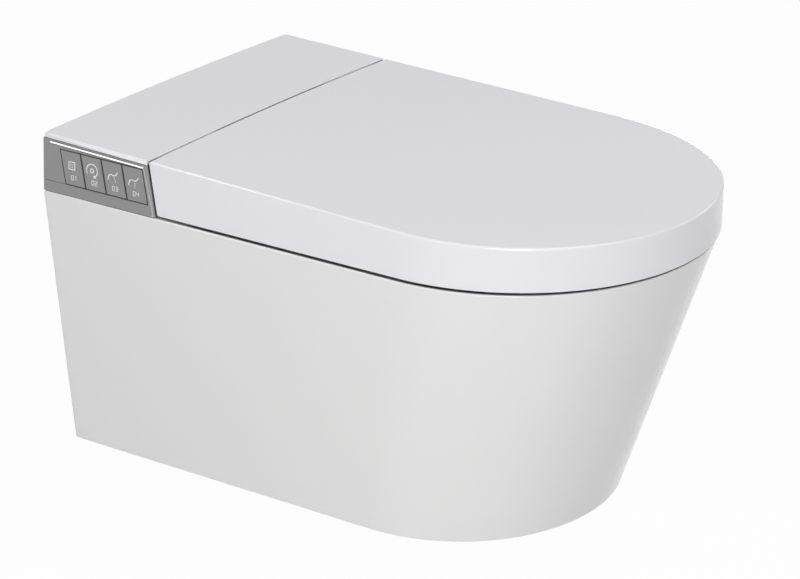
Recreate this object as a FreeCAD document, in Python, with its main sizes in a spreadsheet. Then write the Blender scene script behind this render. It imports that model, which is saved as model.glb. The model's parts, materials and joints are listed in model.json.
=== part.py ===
import FreeCAD, Part
import math
import os
import re
import Sketcher

# Wall-hung smart toilet with a heated seat. Millimetres.
# X runs to the right of a user facing the wall, +Y towards the wall, +Z up.
# The origin is on the wall plane, midway between the two wall studs.

os.makedirs("parts", exist_ok=True)
doc = FreeCAD.newDocument("smart_toilet")

SIZES = {
    # ceramic pan, its heights counted from the line of the two wall studs
    "deck_height": 77.5,
    "foot_drop": 190.0,
    "pan_half_width": 192.9,
    "pan_length": 587.0,
    "pan_inset": 4.9,
    "foot_half_width": 158.3,
    "foot_length": 499.1,
    "foot_inset": 12.3,
    "pan_wall": 11.0,
    "pan_edge": 1.8,
    "wall_round": 5.0,
    "deck_thick": 12.0,
    "back_wall": 14.0,
    "back_bridge": 38.0,
    "back_margin": 6.0,
    "rim_side": 52.9,
    "rim_front": 41.0,
    "bowl_rear": 196.0,
    "bowl_wall": 9.0,
    "bowl_depth": 205.0,
    "rim_round": 4.0,
    "notch_wall": 8.0,
    # connections at the wall
    "stud_spacing": 180.0,
    "stud_hole": 6.25,
    "sleeve_radius": 10.9,
    "sleeve_length": 66.0,
    "boss_radius": 20.0,
    "boss_length": 48.0,
    "inlet_height": 35.0,
    "inlet_radius": 27.5,
    "flush_pipe_radius": 22.5,
    "seal_length": 24.0,
    "throat_start": 28.0,
    "throat_end": 88.0,
    "throat_drop": 11.0,
    "throat_wall": 7.2,
    "throat_reach": 16.0,
    "outlet_drop": 100.0,
    "outlet_radius": 51.0,
    "outlet_wall": 7.0,
    "outlet_recess": 8.0,
    "spigot_length": 48.0,
    "spigot_lip": 6.0,
    "trap_radius": 42.0,
    "trap_wall": 9.0,
    "weir_drop": 48.0,
    "weir_ahead": 6.0,
    "weir_behind": 46.0,
    "drop_length": 40.0,
    # housing behind the lid
    "lid_headroom": 29.9,
    "roof_slope": 0.0273,
    "roof_crown": 2.3,
    "side_step": 2.9,
    "flare": 2.2,
    "housing_depth": 124.0,
    "front_lean": 0.2,
    "rear_corner": 3.4,
    "cover_clear": 2.6,
    "cover_edge": 4.6,
    "cover_lip": 0.8,
    "cover_thick": 2.6,
    "panel_thick": 3.0,
    "chassis_floor": 2.5,
    "chassis_wall": 2.5,
    "chassis_gap": 3.6,
    "wall_setback": 1.4,
    "wall_gap": 1.0,
    "port_gap": 3.0,
    "shelf_margin": 2.0,
    "shelf_inset": 0.5,
    "bracket_foot": 3.0,
    "saddle_length": 20.0,
    "post_radius": 2.5,
    "shelf_depth": 18.0,
    "top_round": 1.6,
    # keys in the left panel
    "key_width": 24.0,
    "key_top_margin": 12.5,
    "key_base": 11.2,
    "key_front_margin": 3.8,
    "key_gap": 0.4,
    "key_travel": 0.8,
    "key_stem": 3.0,
    "light_margin": 2.6,
    "light_height": 1.6,
    "light_start": 10.4,
    "light_drop": 7.0,
    # seat and lid
    "lid_overhang": 2.2,
    "lid_inset": 4.0,
    "lid_gap": 2.7,
    "lid_split": 3.0,
    "lid_wall": 3.2,
    "lid_roof": 2.5,
    "lid_round": 2.2,
    "lid_foot": 0.6,
    "hinge_setback": 16.0,
    "hinge_depth": 7.5,
    "hinge_inset": 20.0,
    "eye_radius": 4.7,
    "pin_radius": 2.5,
    "pin_fit": 0.05,
    "ear_width": 11.6,
    "ear_gap": 0.3,
    "damper_length": 38.0,
    "flange_depth": 12.0,
    "seat_clear": 4.0,
    "seat_lift": 4.8,
    "seat_thick": 22.0,
    "seat_setback": 36.0,
    "seat_cover_side": 28.0,
    "seat_cover_rear": 20.0,
    "seat_cover_front": 40.0,
    "seat_skin": 2.6,
    "seat_roof": 3.2,
    "arm_root": 16.0,
    "arm_lift": 6.0,
    "heater_thick": 0.8,
    "heater_inset": 13.0,
    "bumper_radius": 7.0,
    "liner_drop": 4.5,
    "liner_thick": 2.0,
    # wash wands, dryer and the rest of the works
    "wand_radius": 7.5,
    "wand_pitch": 24.0,
    "wand_length": 138.0,
    "tip_length": 14.0,
    "wand_lean": 16.0,
    "wand_rear": 42.0,
    "wand_height": 27.7,
    "wand_bore": 4.0,
    "wand_fit": 0.08,
    "guide_start": 16.0,
    "guide_length": 104.0,
    "guide_half_width": 25.0,
    "guide_half_height": 10.6,
    "notch_half_width": 74.0,
    "notch_depth": 27.5,
    "notch_rear": 92.0,
    "notch_reach": 90.0,
    "shroud_gap": 0.4,
    "shroud_wall": 2.0,
    "shroud_length": 28.0,
    "duct_width": 30.0,
    "duct_height": 14.0,
    "duct_gap": 0.4,
    "duct_wall": 1.6,
    "blower_radius": 38.0,
    "blower_height": 30.0,
    "blower_gap": 4.0,
    "blower_y": 52.0,
    "blower_shaft": 2.0,
    "rotor_gap": 1.5,
    "blade_count": 11,
    "bolt_x": 136.0,
    "bolt_inset": 20.0,
    "bolt_radius": 4.0,
    "bolt_head": 7.0,
    "bolt_head_height": 4.8,
    "bolt_reach": 14.0,
    "plug_radius": 6.0,
    "plug_reach": 8.0,
    "clamp_y": 57.0,
    "clamp_radius": 3.0,
    "clamp_head": 5.1,
    "clamp_stand": 6.0,
    "wand_opening": 80.0,
    "mouth_height": 22.0,
    "valve_x": 102.0,
    "gland_inset": 36.0,
    "gland_radius": 8.0,
    "fitting_radius": 10.4,
    "port_height": 96.0,
    "board_height": 36.0,
    "board_width": 50.0,
    "board_start": 10.0,
    "board_clear": 14.0,
    "board_thick": 1.6,
    "key_flange": 1.0,
    "key_flange_gap": 0.2,
    "key_lip": 1.6,
    "board_margin": 1.2,
    "window_margin": 3.0,
    "key_stem_length": 2.6,
    "dome_height": 1.0,
    "light_thick": 1.1,
    "light_recess": 0.1,
    "seam_depth": 0.4,
    "panel_round": 2.2,
    "seat_round": 7.0,
    "seat_edge": 6.0,
    "motor_y": 70.0,
    "motor_radius": 9.0,
    "motor_length": 10.5,
    "motor_gap": 0.1,
    "duct_start": 52.0,
    "duct_length": 99.0,
    "neck_height": 20.0,
    "heater_width": 30.0,
    "heater_gap": 8.5,
    "heater_height": 36.0,
    "heater_corner": 6.0,
    "pipe_radius": 4.0,
    "works_rear": 16.0,
    "works_clear": 18.0,
    "supply_gap": 4.0,
    "supply_height": 26.0,
    "pump_radius": 13.0,
    "pump_length": 42.0,
    "pump_foot": 10.0,
    "valve_start": 14.0,
    "valve_length": 34.0,
    "valve_radius": 11.0,
    "coil_radius": 9.0,
    "coil_height": 17.0,
    "fitting_wall": 3.0,
    "fitting_flange": 2.0,
    "cord_radius": 3.6,
    "gland_length": 14.0,
    "fitting_length": 12.5,
    "part_gap": 0.3,
    "overcut": 1.0,
}

KEY_NAMES = ("stop_key", "flush_key", "rear_wash_key", "front_wash_key")

# Sizes that follow others by a named step or clearance.
FITTED = {
    "top_half_width": "(pan_half_width - side_step)",
    "chassis_half": "(pan_half_width - part_gap - panel_thick - chassis_gap)",
    "bowl_half_width": "(pan_half_width - rim_side)",
    "bowl_front": "(pan_length - rim_front)",
    "lid_length": "(pan_length + lid_overhang)",
    "roof_height": "(seat_lift + seat_thick + lid_headroom)",
    "seat_rear": "(housing_depth + lid_split + seat_setback)",
    "seat_open_half": "(bowl_half_width - seat_cover_side)",
    "seat_open_rear": "(bowl_rear + seat_cover_rear)",
    "seat_open_front": "(bowl_front - seat_cover_front)",
    "hinge_outer": "(top_half_width - hinge_inset)",
    "key_pitch": "(key_width + key_gap)",
    "key_height": "(roof_height - key_base - key_top_margin)",
    "key_start": f"(housing_depth - key_front_margin - {len(KEY_NAMES)} * key_pitch)",
    "light_length": "(housing_depth - light_start - light_margin)",
    "heater_left": "(chassis_half - chassis_wall - heater_gap - heater_width)",
    "blower_x": "(heater_left - blower_gap - blower_radius)",
    "duct_centre": "(guide_half_width + motor_gap + motor_length + duct_gap + duct_width / 2)",
    "gland_x": "(chassis_half - gland_inset)",
    "bolt_y": "(housing_depth - bolt_inset)",
    "board_front": "(housing_depth - board_clear)",
    "works_front": "(housing_depth - works_clear)",
}

sheet = doc.addObject("Spreadsheet::Sheet", "Sizes")
for row, (alias, number) in enumerate(SIZES.items(), start=1):
    sheet.set(f"A{row}", alias)
    sheet.set(f"B{row}", str(number))
    sheet.setAlias(f"B{row}", alias)
doc.recompute()


# ---------------------------------------------------------------- expressions

def cell(word):
    """One word of an expression: a cell of the sheet, a fitted size, or itself."""
    name = word[0]
    if name in FITTED:
        return bound(FITTED[name])
    return "Sizes." + name if name in SIZES else name


def bound(text):
    """Writes an expression's plain size names as cells of the sheet."""
    return re.sub(r"[a-z_]+[a-z]", cell, str(text))


def size(text):
    """The value of an expression of size names."""
    return float(sheet.evalExpression(bound(text).replace("Sizes.", "")))


def bind(thing, field, text):
    thing.setExpression(field, bound(text))


# Heights: the stud line is zero, the deck is the top face of the ceramic.
FOOT = "(-foot_drop)"
DECK = "deck_height"
LID_LOW = f"({DECK} + lid_gap)"
SEAT_LOW = f"({DECK} + seat_lift)"
SEAT_TOP = f"({SEAT_LOW} + seat_thick)"
FLOOR_TOP = f"({DECK} + chassis_floor)"


def roof(y):
    """Height of the roof's side edge at y; it falls gently to the front."""
    return f"({DECK} + roof_height + roof_slope * ({y}))"


def lean(y_top, z):
    """The slanted line between housing and lid, further forward lower down."""
    return f"(({y_top}) - front_lean * ({roof('-housing_depth')} - ({z})))"


HOUSE_FRONT = "(-housing_depth)"
TRAY_FRONT = "(-housing_depth + wall_setback)"
LID_REAR = "(-housing_depth - lid_split)"
HINGE_Y = f"({LID_REAR} - hinge_setback)"
HINGE_Z = f"({roof(LID_REAR)} - hinge_depth)"


# ---------------------------------------------------------------- sketch tools

def new_body(name):
    body = doc.addObject("PartDesign::Body", name)
    body.Label = name
    return body


def new_sketch(body, role, name, offset="0"):
    """A sketch on one of the body's own origin planes, moved along its normal."""
    sketch = body.newObject("Sketcher::SketchObject", name)
    plane = [item for item in body.Origin.OriginFeatures if item.Role == role][0]
    sketch.AttachmentSupport = (plane, [""])
    sketch.MapMode = "FlatFace"
    bind(sketch, "AttachmentOffset.Base.z", offset)
    return sketch


def pin_point(sketch, edge, end, x, y):
    """Fixes one end of an edge at x, y."""
    for kind, text in (("DistanceX", x), ("DistanceY", y)):
        index = sketch.addConstraint(Sketcher.Constraint(kind, edge, end, size(text)))
        bind(sketch, f"Constraints[{index}]", text)


def set_radius(sketch, edge, radius):
    index = sketch.addConstraint(Sketcher.Constraint("Radius", edge, size(radius)))
    bind(sketch, f"Constraints[{index}]", radius)


def arc_between(start, end, radius):
    """Anticlockwise arc under half a turn from start to end."""
    middle = (start + end) * 0.5
    chord = end - start
    rise = math.sqrt(max(radius ** 2 - (chord.Length / 2) ** 2, 0))
    normal = FreeCAD.Vector(-chord.y, chord.x, 0).normalize()
    centre = middle + normal * rise
    first = math.atan2(start.y - centre.y, start.x - centre.x)
    last = math.atan2(end.y - centre.y, end.x - centre.x)
    return Part.ArcOfCircle(Part.Circle(centre, FreeCAD.Vector(0, 0, 1), radius), first, last)


def draw_loop(sketch, corners):
    """Closed outline. A corner is (x, y), or (x, y, radius) when the edge that
    leaves it bulges outward of an anticlockwise outline with that radius."""
    first_edge = sketch.GeometryCount
    places = [FreeCAD.Vector(size(corner[0]), size(corner[1]), 0) for corner in corners]
    count = len(corners)
    for index, corner in enumerate(corners):
        start = places[index]
        end = places[(index + 1) % count]
        if len(corner) == 3:
            sketch.addGeometry(arc_between(start, end, size(corner[2])))
        else:
            sketch.addGeometry(Part.LineSegment(start, end))
    for index in range(count):
        edge = first_edge + index
        following = first_edge + (index + 1) % count
        sketch.addConstraint(Sketcher.Constraint("Coincident", edge, 2, following, 1))
    for index, corner in enumerate(corners):
        pin_point(sketch, first_edge + index, 1, corner[0], corner[1])
        if len(corner) == 3:
            set_radius(sketch, first_edge + index, corner[2])


def draw_circle(sketch, x, y, radius):
    centre = FreeCAD.Vector(size(x), size(y), 0)
    edge = sketch.addGeometry(Part.Circle(centre, FreeCAD.Vector(0, 0, 1), size(radius)))
    pin_point(sketch, edge, 3, x, y)
    set_radius(sketch, edge, radius)


def draw_box(sketch, left, right, low, high):
    draw_loop(sketch, [(left, low), (right, low), (right, high), (left, high)])


def draw_d(sketch, half, rear, length, inset):
    """Plan outline with a straight back and sides and a near-round front: two
    corner arcs whose centres stand in from the middle by the inset, and a
    slightly flatter front arc, all tangent."""
    corner = f"({half} - {inset})"
    front = f"({half} + (sqrt(5) - 1) * {inset})"
    straight_y = f"(-{length} + {half} + (sqrt(5) - 3) * {inset})"
    meet_x = f"({front} / sqrt(5))"
    meet_y = f"(-{length} + {front} - 2 * {front} / sqrt(5))"
    draw_loop(sketch, [
        (f"-{half}", rear),
        (f"-{half}", straight_y, corner),
        (f"-{meet_x}", meet_y, front),
        (meet_x, meet_y, corner),
        (half, straight_y),
        (half, rear),
    ])


def draw_slot(sketch, half, rear, front):
    """Plan outline with half-round ends, each of two quarter arcs."""
    back_y = f"(-({rear}) - ({half}))"
    front_y = f"(-({front}) + ({half}))"
    draw_loop(sketch, [
        (f"-({half})", back_y),
        (f"-({half})", front_y, half),
        ("0", f"-({front})", half),
        (half, front_y),
        (half, back_y, half),
        ("0", f"-({rear})", half),
    ])


# ---------------------------------------------------------------- feature tools

def check_cut(body, before, name):
    doc.recompute()
    if body.Shape.Volume > before - 1e-3:
        raise RuntimeError(f"{body.Label}: {name} cuts nothing")


def pad(body, sketch, length, reverse=False, middle=False):
    feature = body.newObject("PartDesign::Pad", sketch.Name + "_pad")
    feature.Profile = sketch
    feature.Midplane = middle
    feature.Reversed = reverse
    bind(feature, "Length", length)
    return feature


def pocket(body, sketch, length, reverse=False, middle=False):
    doc.recompute()
    before = body.Shape.Volume
    feature = body.newObject("PartDesign::Pocket", sketch.Name + "_cut")
    feature.Profile = sketch
    feature.Midplane = middle
    feature.Reversed = reverse
    bind(feature, "Length", length)
    check_cut(body, before, feature.Name)
    return feature


def loft(body, sketches, cut=False, ruled=True):
    doc.recompute()
    before = body.Shape.Volume if cut else 0
    kind = "PartDesign::SubtractiveLoft" if cut else "PartDesign::AdditiveLoft"
    feature = body.newObject(kind, sketches[0].Name + "_loft")
    feature.Profile = sketches[0]
    feature.Sections = sketches[1:]
    feature.Ruled = ruled
    if cut:
        check_cut(body, before, feature.Name)
    return feature


def turned(body, sketch, axis_role, cut=False):
    doc.recompute()
    before = body.Shape.Volume if cut else 0
    kind = "PartDesign::Groove" if cut else "PartDesign::Revolution"
    feature = body.newObject(kind, sketch.Name + "_turn")
    feature.Profile = sketch
    axis = [item for item in body.Origin.OriginFeatures if item.Role == axis_role][0]
    feature.ReferenceAxis = (axis, [""])
    feature.Angle = 360
    if cut:
        check_cut(body, before, feature.Name)
    return feature


def round_edges(body, radius, choose, name):
    """Fillets the edges whose middle point passes the test."""
    doc.recompute()
    base = body.Tip
    chosen = []
    for index, edge in enumerate(base.Shape.Edges, start=1):
        middle = edge.valueAt((edge.FirstParameter + edge.LastParameter) / 2)
        if choose(middle, edge):
            chosen.append(f"Edge{index}")
    if not chosen:
        raise RuntimeError(f"{body.Label}: no edge for {name}")
    feature = body.newObject("PartDesign::Fillet", name)
    feature.Base = (base, chosen)
    bind(feature, "Radius", radius)
    return feature


def close_to(number, target, reach=0.05):
    return abs(number - target) < reach


def is_upright(edge):
    return abs(edge.tangentAt(edge.FirstParameter).z) > 0.9


def tilt_about_y(body, side):
    """Leans a side panel's piece to the housing's flare; the deck edge stays put."""
    drop = size("flare / roof_height")
    turn = FreeCAD.Rotation(FreeCAD.Vector(0, 1, 0), -side * math.degrees(math.atan(drop)))
    corner = FreeCAD.Vector(side * size("pan_half_width - part_gap"), 0, size(DECK))
    body.Placement = FreeCAD.Placement(corner - turn.multVec(corner), turn)


# ---------------------------------------------------------------- ceramic pan

def cut_roof(body, name, lift="0"):
    """Removes all above the crowned, gently falling roof."""
    reach = "(top_half_width + 12 * overcut)"
    radius = "((top_half_width * top_half_width + roof_crown * roof_crown) / (2 * roof_crown))"
    drop = f"({radius} - sqrt({radius} * {radius} - {reach} * {reach}))"
    sections = []
    for index, y in enumerate(["(10 * overcut)", "(-lid_length - 10 * overcut)"]):
        sketch = new_sketch(body, "XZ_Plane", f"{name}_{index}", f"-{y}")
        edge = f"({roof(y)} + roof_crown - {drop} + {lift})"
        high = f"({roof('0')} + roof_height)"
        section_radius = f"({radius} + {lift})"
        draw_sky(sketch, reach, edge, high, section_radius)
        sections.append(sketch)
    return loft(body, sections, cut=True)


def draw_sky(sketch, reach, edge, high, radius):
    """Outline above the crown: its lower side is the crown's arc, which bulges
    into the outline, so the arc is drawn from right to left."""
    left = FreeCAD.Vector(-size(reach), size(edge), 0)
    right = FreeCAD.Vector(size(reach), size(edge), 0)
    top_right = FreeCAD.Vector(size(reach), size(high), 0)
    top_left = FreeCAD.Vector(-size(reach), size(high), 0)
    sketch.addGeometry(arc_between(right, left, size(radius)))
    sketch.addGeometry(Part.LineSegment(right, top_right))
    sketch.addGeometry(Part.LineSegment(top_right, top_left))
    sketch.addGeometry(Part.LineSegment(top_left, left))
    for first, first_end, second, second_end in ((0, 1, 1, 1), (1, 2, 2, 1), (2, 2, 3, 1), (3, 2, 0, 2)):
        sketch.addConstraint(Sketcher.Constraint("Coincident", first, first_end, second, second_end))
    pin_point(sketch, 1, 1, reach, edge)
    pin_point(sketch, 2, 1, reach, high)
    pin_point(sketch, 3, 1, f"-{reach}", high)
    pin_point(sketch, 3, 2, f"-{reach}", edge)
    set_radius(sketch, 0, radius)


def pan_section(body, name, height, wall, rear):
    """The pan's outline at a height, drawn in by a wall: it widens evenly from
    the narrow foot to the deck."""
    sketch = new_sketch(body, "XY_Plane", name, height)
    share = f"((({height}) + foot_drop) / (deck_height + foot_drop))"
    half = f"(foot_half_width + (pan_half_width - foot_half_width) * {share} - {wall})"
    length = f"(foot_length + (pan_length - foot_length) * {share} - {wall})"
    inset = f"(foot_inset + (pan_inset - foot_inset) * {share})"
    draw_d(sketch, half, rear, length, inset)
    return sketch


# The bowl's plan at four depths, as shares of its depth, width and length.
SUMP_SHARE = 0.36
BOWL_SECTIONS = (
    # depth, half width, rear edge moved forward, front edge moved back
    (0.00, 1.00, 0.00, 0.00),
    (0.34, 0.86, 0.03, 0.09),
    (0.70, 0.54, 0.14, 0.28),
    (1.00, 0.28, 0.26, 0.47),
)


def bowl_sections(body, name, wall):
    sections = []
    for index, (depth, width, back, front) in enumerate(BOWL_SECTIONS):
        length = "(bowl_front - bowl_rear)"
        level = f"({DECK} - {depth} * bowl_depth)"
        if depth == 0:
            level = f"({DECK} - {wall} / 2)"
        elif depth == 1:
            level = f"({DECK} - bowl_depth - {wall})"
        sketch = new_sketch(body, "XY_Plane", f"{name}_{index}", level)
        half = f"(bowl_half_width * {width} + {wall})"
        draw_slot(sketch, half, f"(bowl_rear + {back} * {length} - {wall})",
                  f"(bowl_front - {front} * {length} + {wall})")
        sections.append(sketch)
    return sections


def trap_route():
    """Centre line of the trap from the bowl's sump over the weir to the wall."""
    sump_y = f"(bowl_rear + {SUMP_SHARE} * (bowl_front - bowl_rear))"
    return [
        (f"-{sump_y}", f"({DECK} - bowl_depth + trap_radius - trap_wall / 2)"),
        ("(-bowl_rear - weir_ahead)", "(-weir_drop)"),
        ("(-bowl_rear + weir_behind)", "(-weir_drop)"),
        ("(-spigot_length - outlet_recess - drop_length)", "(-outlet_drop)"),
        ("(-outlet_recess - spigot_lip)", "(-outlet_drop)"),
    ]


def trap_pipe(body, name, radius, cut):
    """A round pipe along the trap's route, its bends eased by arcs."""
    corners = [FreeCAD.Vector(0, size(y), size(z)) for y, z in trap_route()]
    bend = size("trap_radius + 0.7 * trap_wall")
    edges = []
    start = corners[0]
    for before, corner, after in zip(corners, corners[1:], corners[2:]):
        arrive = (corner - before).normalize()
        leave = (after - corner).normalize()
        turn = arrive.getAngle(leave)
        setback = bend * math.tan(turn / 2)
        enter = corner - arrive * setback
        depart = corner + leave * setback
        bisector = (leave - arrive).normalize()
        centre = corner + bisector * (bend / math.cos(turn / 2))
        middle = centre - bisector * bend
        edges.append((start, enter))
        edges.append((enter, middle, depart))
        start = depart
    edges.append((start, corners[-1]))
    path = new_sketch(body, "YZ_Plane", name + "_path")
    for points in edges:
        flat = [FreeCAD.Vector(point.y, point.z, 0) for point in points]
        if len(flat) == 2:
            path.addGeometry(Part.LineSegment(*flat))
        else:
            path.addGeometry(Part.Arc(*flat))
    for index in range(path.GeometryCount):
        path.addConstraint(Sketcher.Constraint("Block", index))
    ring = new_sketch(body, "XZ_Plane", name + "_ring", "outlet_recess + spigot_lip")
    draw_circle(ring, "0", "-outlet_drop", radius)
    doc.recompute()
    before = body.Shape.Volume
    kind = "PartDesign::SubtractivePipe" if cut else "PartDesign::AdditivePipe"
    feature = body.newObject(kind, name)
    feature.Profile = ring
    feature.Spine = path
    if cut:
        check_cut(body, before, name)
    return feature


# The flush channel's shape where it meets the bowl, as shares of its radius.
THROAT_WIDE = 1.30
THROAT_TALL = 0.56
THROAT_CORNER = 0.42


def inlet_channel(body, name, wall, start, reach):
    """Flush channel: round at the wall, wide and flat where it meets the bowl."""
    flat_height = "(inlet_height - throat_drop)"
    stations = [("throat_start", 1, "inlet_height", 1),
                ("throat_end", THROAT_WIDE, flat_height, THROAT_TALL),
                (reach, THROAT_WIDE, flat_height, THROAT_TALL)]
    if start != "throat_start":
        stations.insert(0, (start, 1, "inlet_height", 1))
    sections = []
    for index, (y, wide, height, tall) in enumerate(stations):
        sketch = new_sketch(body, "XZ_Plane", f"{name}_{index}", y)
        half = f"(inlet_radius * {wide} + {wall})"
        rise = f"(inlet_radius * {tall} + {wall})"
        corner = f"(inlet_radius * {THROAT_CORNER})"
        draw_loop(sketch, [
            (f"-({half} - {corner})", f"({height} - {rise})"),
            (f"({half} - {corner})", f"({height} - {rise})"),
            (half, f"({height} - {rise} + {corner})"),
            (half, f"({height} + {rise} - {corner})"),
            (f"({half} - {corner})", f"({height} + {rise})"),
            (f"-({half} - {corner})", f"({height} + {rise})"),
            (f"-{half}", f"({height} + {rise} - {corner})"),
            (f"-{half}", f"({height} - {rise} + {corner})"),
        ])
        sections.append(sketch)
    return sections


def make_pan():
    body = new_body("ceramic_pan")
    loft(body, [pan_section(body, "pan_foot", FOOT, "0", "overcut"),
                pan_section(body, "pan_deck", DECK, "0", "overcut")])
    wall_plane = new_sketch(body, "XZ_Plane", "wall_plane")
    draw_box(wall_plane, "-pan_half_width - overcut", "pan_half_width + overcut",
             f"({FOOT} - overcut)", f"({DECK} + overcut)")
    pocket(body, wall_plane, "2 * overcut")
    inner_low = f"({FOOT} + pan_wall)"
    inner_high = f"({DECK} - deck_thick)"
    loft(body, [pan_section(body, "void_low", inner_low, "pan_wall", "-back_wall"),
                pan_section(body, "void_high", inner_high, "pan_wall", "-back_wall")], cut=True)
    opening = new_sketch(body, "XZ_Plane", "back_opening", "-overcut")
    opening_half = "(foot_half_width - pan_wall - back_margin)"
    draw_box(opening, f"-{opening_half}", opening_half, f"({FOOT} + pan_wall)", "(-back_bridge)")
    pocket(body, opening, "back_wall + 2 * overcut", reverse=True)

    loft(body, bowl_sections(body, "bowl_out", "bowl_wall"), ruled=False)
    trap_pipe(body, "trap_out", "trap_radius", cut=False)
    spigot = new_sketch(body, "XZ_Plane", "spigot", "outlet_recess")
    draw_circle(spigot, "0", "-outlet_drop", "outlet_radius")
    pad(body, spigot, "spigot_length")
    loft(body, inlet_channel(body, "inlet_out", "throat_wall", "(outlet_recess - notch_wall)", "bowl_rear"))
    for side, label in ((-1, "left"), (1, "right")):
        boss = new_sketch(body, "XZ_Plane", "boss_" + label, "0.5 * back_wall")
        draw_circle(boss, f"{side} * stud_spacing / 2", "0", "boss_radius")
        pad(body, boss, "boss_length - 0.5 * back_wall")
    trough = new_sketch(body, "XY_Plane", "trough", f"{DECK} - notch_depth - notch_wall")
    draw_box(trough, "-notch_half_width - notch_wall", "notch_half_width + notch_wall",
             "-bowl_rear - notch_wall", "-notch_rear + notch_wall")
    pad(body, trough, "notch_depth + notch_wall")

    loft(body, bowl_sections(body, "bowl_in", "0"), cut=True, ruled=False)
    trap_pipe(body, "trap_in", "trap_radius - trap_wall", cut=True)
    spigot_bore = new_sketch(body, "XZ_Plane", "spigot_bore", "outlet_recess - overcut")
    draw_circle(spigot_bore, "0", "-outlet_drop", "outlet_radius - outlet_wall")
    pocket(body, spigot_bore, "spigot_length - spigot_lip", reverse=True)
    loft(body, inlet_channel(body, "inlet_in", "0", "throat_start", "(bowl_rear + throat_reach)"), cut=True)
    inlet_bore = new_sketch(body, "XZ_Plane", "inlet_bore", "-overcut")
    draw_circle(inlet_bore, "0", "inlet_height", "inlet_radius")
    pocket(body, inlet_bore, "throat_start + 2 * overcut", reverse=True)
    for side, label in ((-1, "left"), (1, "right")):
        hole = new_sketch(body, "XZ_Plane", "stud_hole_" + label, "-overcut")
        draw_circle(hole, f"{side} * stud_spacing / 2", "0", "sleeve_radius + pin_fit")
        pocket(body, hole, "boss_length + 4 * overcut", reverse=True)
        screw = new_sketch(body, "XY_Plane", "deck_hole_" + label, f"{DECK} + overcut")
        draw_circle(screw, f"{side} * bolt_x", "-bolt_y", "plug_radius + part_gap / 2")
        pocket(body, screw, "deck_thick + 2 * overcut")
    notch = new_sketch(body, "XY_Plane", "wand_notch", f"{DECK} + overcut")
    draw_box(notch, "-notch_half_width", "notch_half_width",
             "(-bowl_rear - notch_reach)", "-notch_rear")
    pocket(body, notch, "notch_depth + overcut")

    round_edges(body, "pan_edge", on_pan_outline, "pan_edge_round")
    round_edges(body, "rim_round", on_bowl_rim, "bowl_rim_round")
    round_edges(body, "wall_round", on_wall_corner, "wall_corner_round")
    return body


def near_outline(point, half, length, reach):
    """Whether a point lies within reach of a D-shaped plan outline, its straight back left out."""
    centre_y = size(f"-{length} + {half}")
    if point.y > centre_y:
        return abs(point.x) > size(half) - reach and point.y < -reach
    return math.hypot(point.x, point.y - centre_y) > size(half) - reach


def on_wall_corner(middle, edge):
    """The pan's two upright edges against the wall."""
    return close_to(middle.y, 0) and abs(middle.x) > size("foot_half_width - foot_inset - overcut")


def on_pan_outline(middle, edge):
    """The pan's outer edges at the deck and at the foot."""
    if close_to(middle.z, size(DECK)):
        return near_outline(middle, "pan_half_width", "pan_length", size("pan_edge"))
    return close_to(middle.z, size(FOOT)) and near_outline(middle, "foot_half_width", "foot_length",
                                                           size("foot_inset"))


def on_bowl_rim(middle, edge):
    """The bowl's mouth at the deck, ahead of the notch for the wands."""
    ahead = middle.y < size("-bowl_rear - notch_reach - rim_round")
    inside = abs(middle.x) < size("bowl_half_width + overcut") and middle.y > size("-bowl_front - overcut")
    return close_to(middle.z, size(DECK)) and ahead and inside \
        and not near_outline(middle, "pan_half_width", "pan_length", size("pan_edge"))


# ---------------------------------------------------------------- wall fittings

def make_inlet_seal():
    """Rubber sleeve between the flush pipe and the ceramic inlet."""
    body = new_body("inlet_seal")
    ring = new_sketch(body, "XZ_Plane", "seal_ring", "part_gap")
    draw_circle(ring, "0", "inlet_height", "inlet_radius - pin_fit")
    draw_circle(ring, "0", "inlet_height", "flush_pipe_radius")
    pad(body, ring, "seal_length")
    return body


def make_fixing_sleeves():
    """Metal sleeves that slide over the wall studs, each with a clamp screw hole."""
    body = new_body("fixing_sleeves")
    tube = new_sketch(body, "XZ_Plane", "sleeve_tubes")
    for side in (-1, 1):
        draw_circle(tube, f"{side} * stud_spacing / 2", "0", "sleeve_radius")
        draw_circle(tube, f"{side} * stud_spacing / 2", "0", "stud_hole")
    pad(body, tube, "sleeve_length")
    body.AllowCompound = True
    holes = new_sketch(body, "XY_Plane", "clamp_holes", "sleeve_radius + overcut")
    for side in (-1, 1):
        draw_circle(holes, f"{side} * stud_spacing / 2", "-clamp_y", "clamp_radius + pin_fit")
    pocket(body, holes, "sleeve_radius + overcut")
    return body


def make_fixing_screws():
    """Clamp screws that press down on the studs inside the sleeves."""
    body = new_body("fixing_screws")
    body.AllowCompound = True
    shank = new_sketch(body, "XY_Plane", "clamp_shanks", "stud_hole + pin_fit")
    head = new_sketch(body, "XY_Plane", "clamp_heads", "sleeve_radius + clamp_stand")
    for side in (-1, 1):
        draw_circle(shank, f"{side} * stud_spacing / 2", "-clamp_y", "clamp_radius")
        draw_circle(head, f"{side} * stud_spacing / 2", "-clamp_y", "clamp_head")
    pad(body, shank, "sleeve_radius - stud_hole + clamp_stand + overcut / 2")
    pad(body, head, "clamp_radius")
    return body


# ---------------------------------------------------------------- housing

def flank_profile(sketch, low, high_drop, rear, front):
    """Side view between the deck and the falling roof, its front edge slanted."""
    high_rear = f"({roof(rear)} - ({high_drop}))"
    high_front = f"({roof('-housing_depth')} - ({high_drop}))"
    draw_loop(sketch, [
        (lean(front, low), low),
        (rear, low),
        (rear, high_rear),
        (lean(front, high_front), high_front),
    ])


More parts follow.
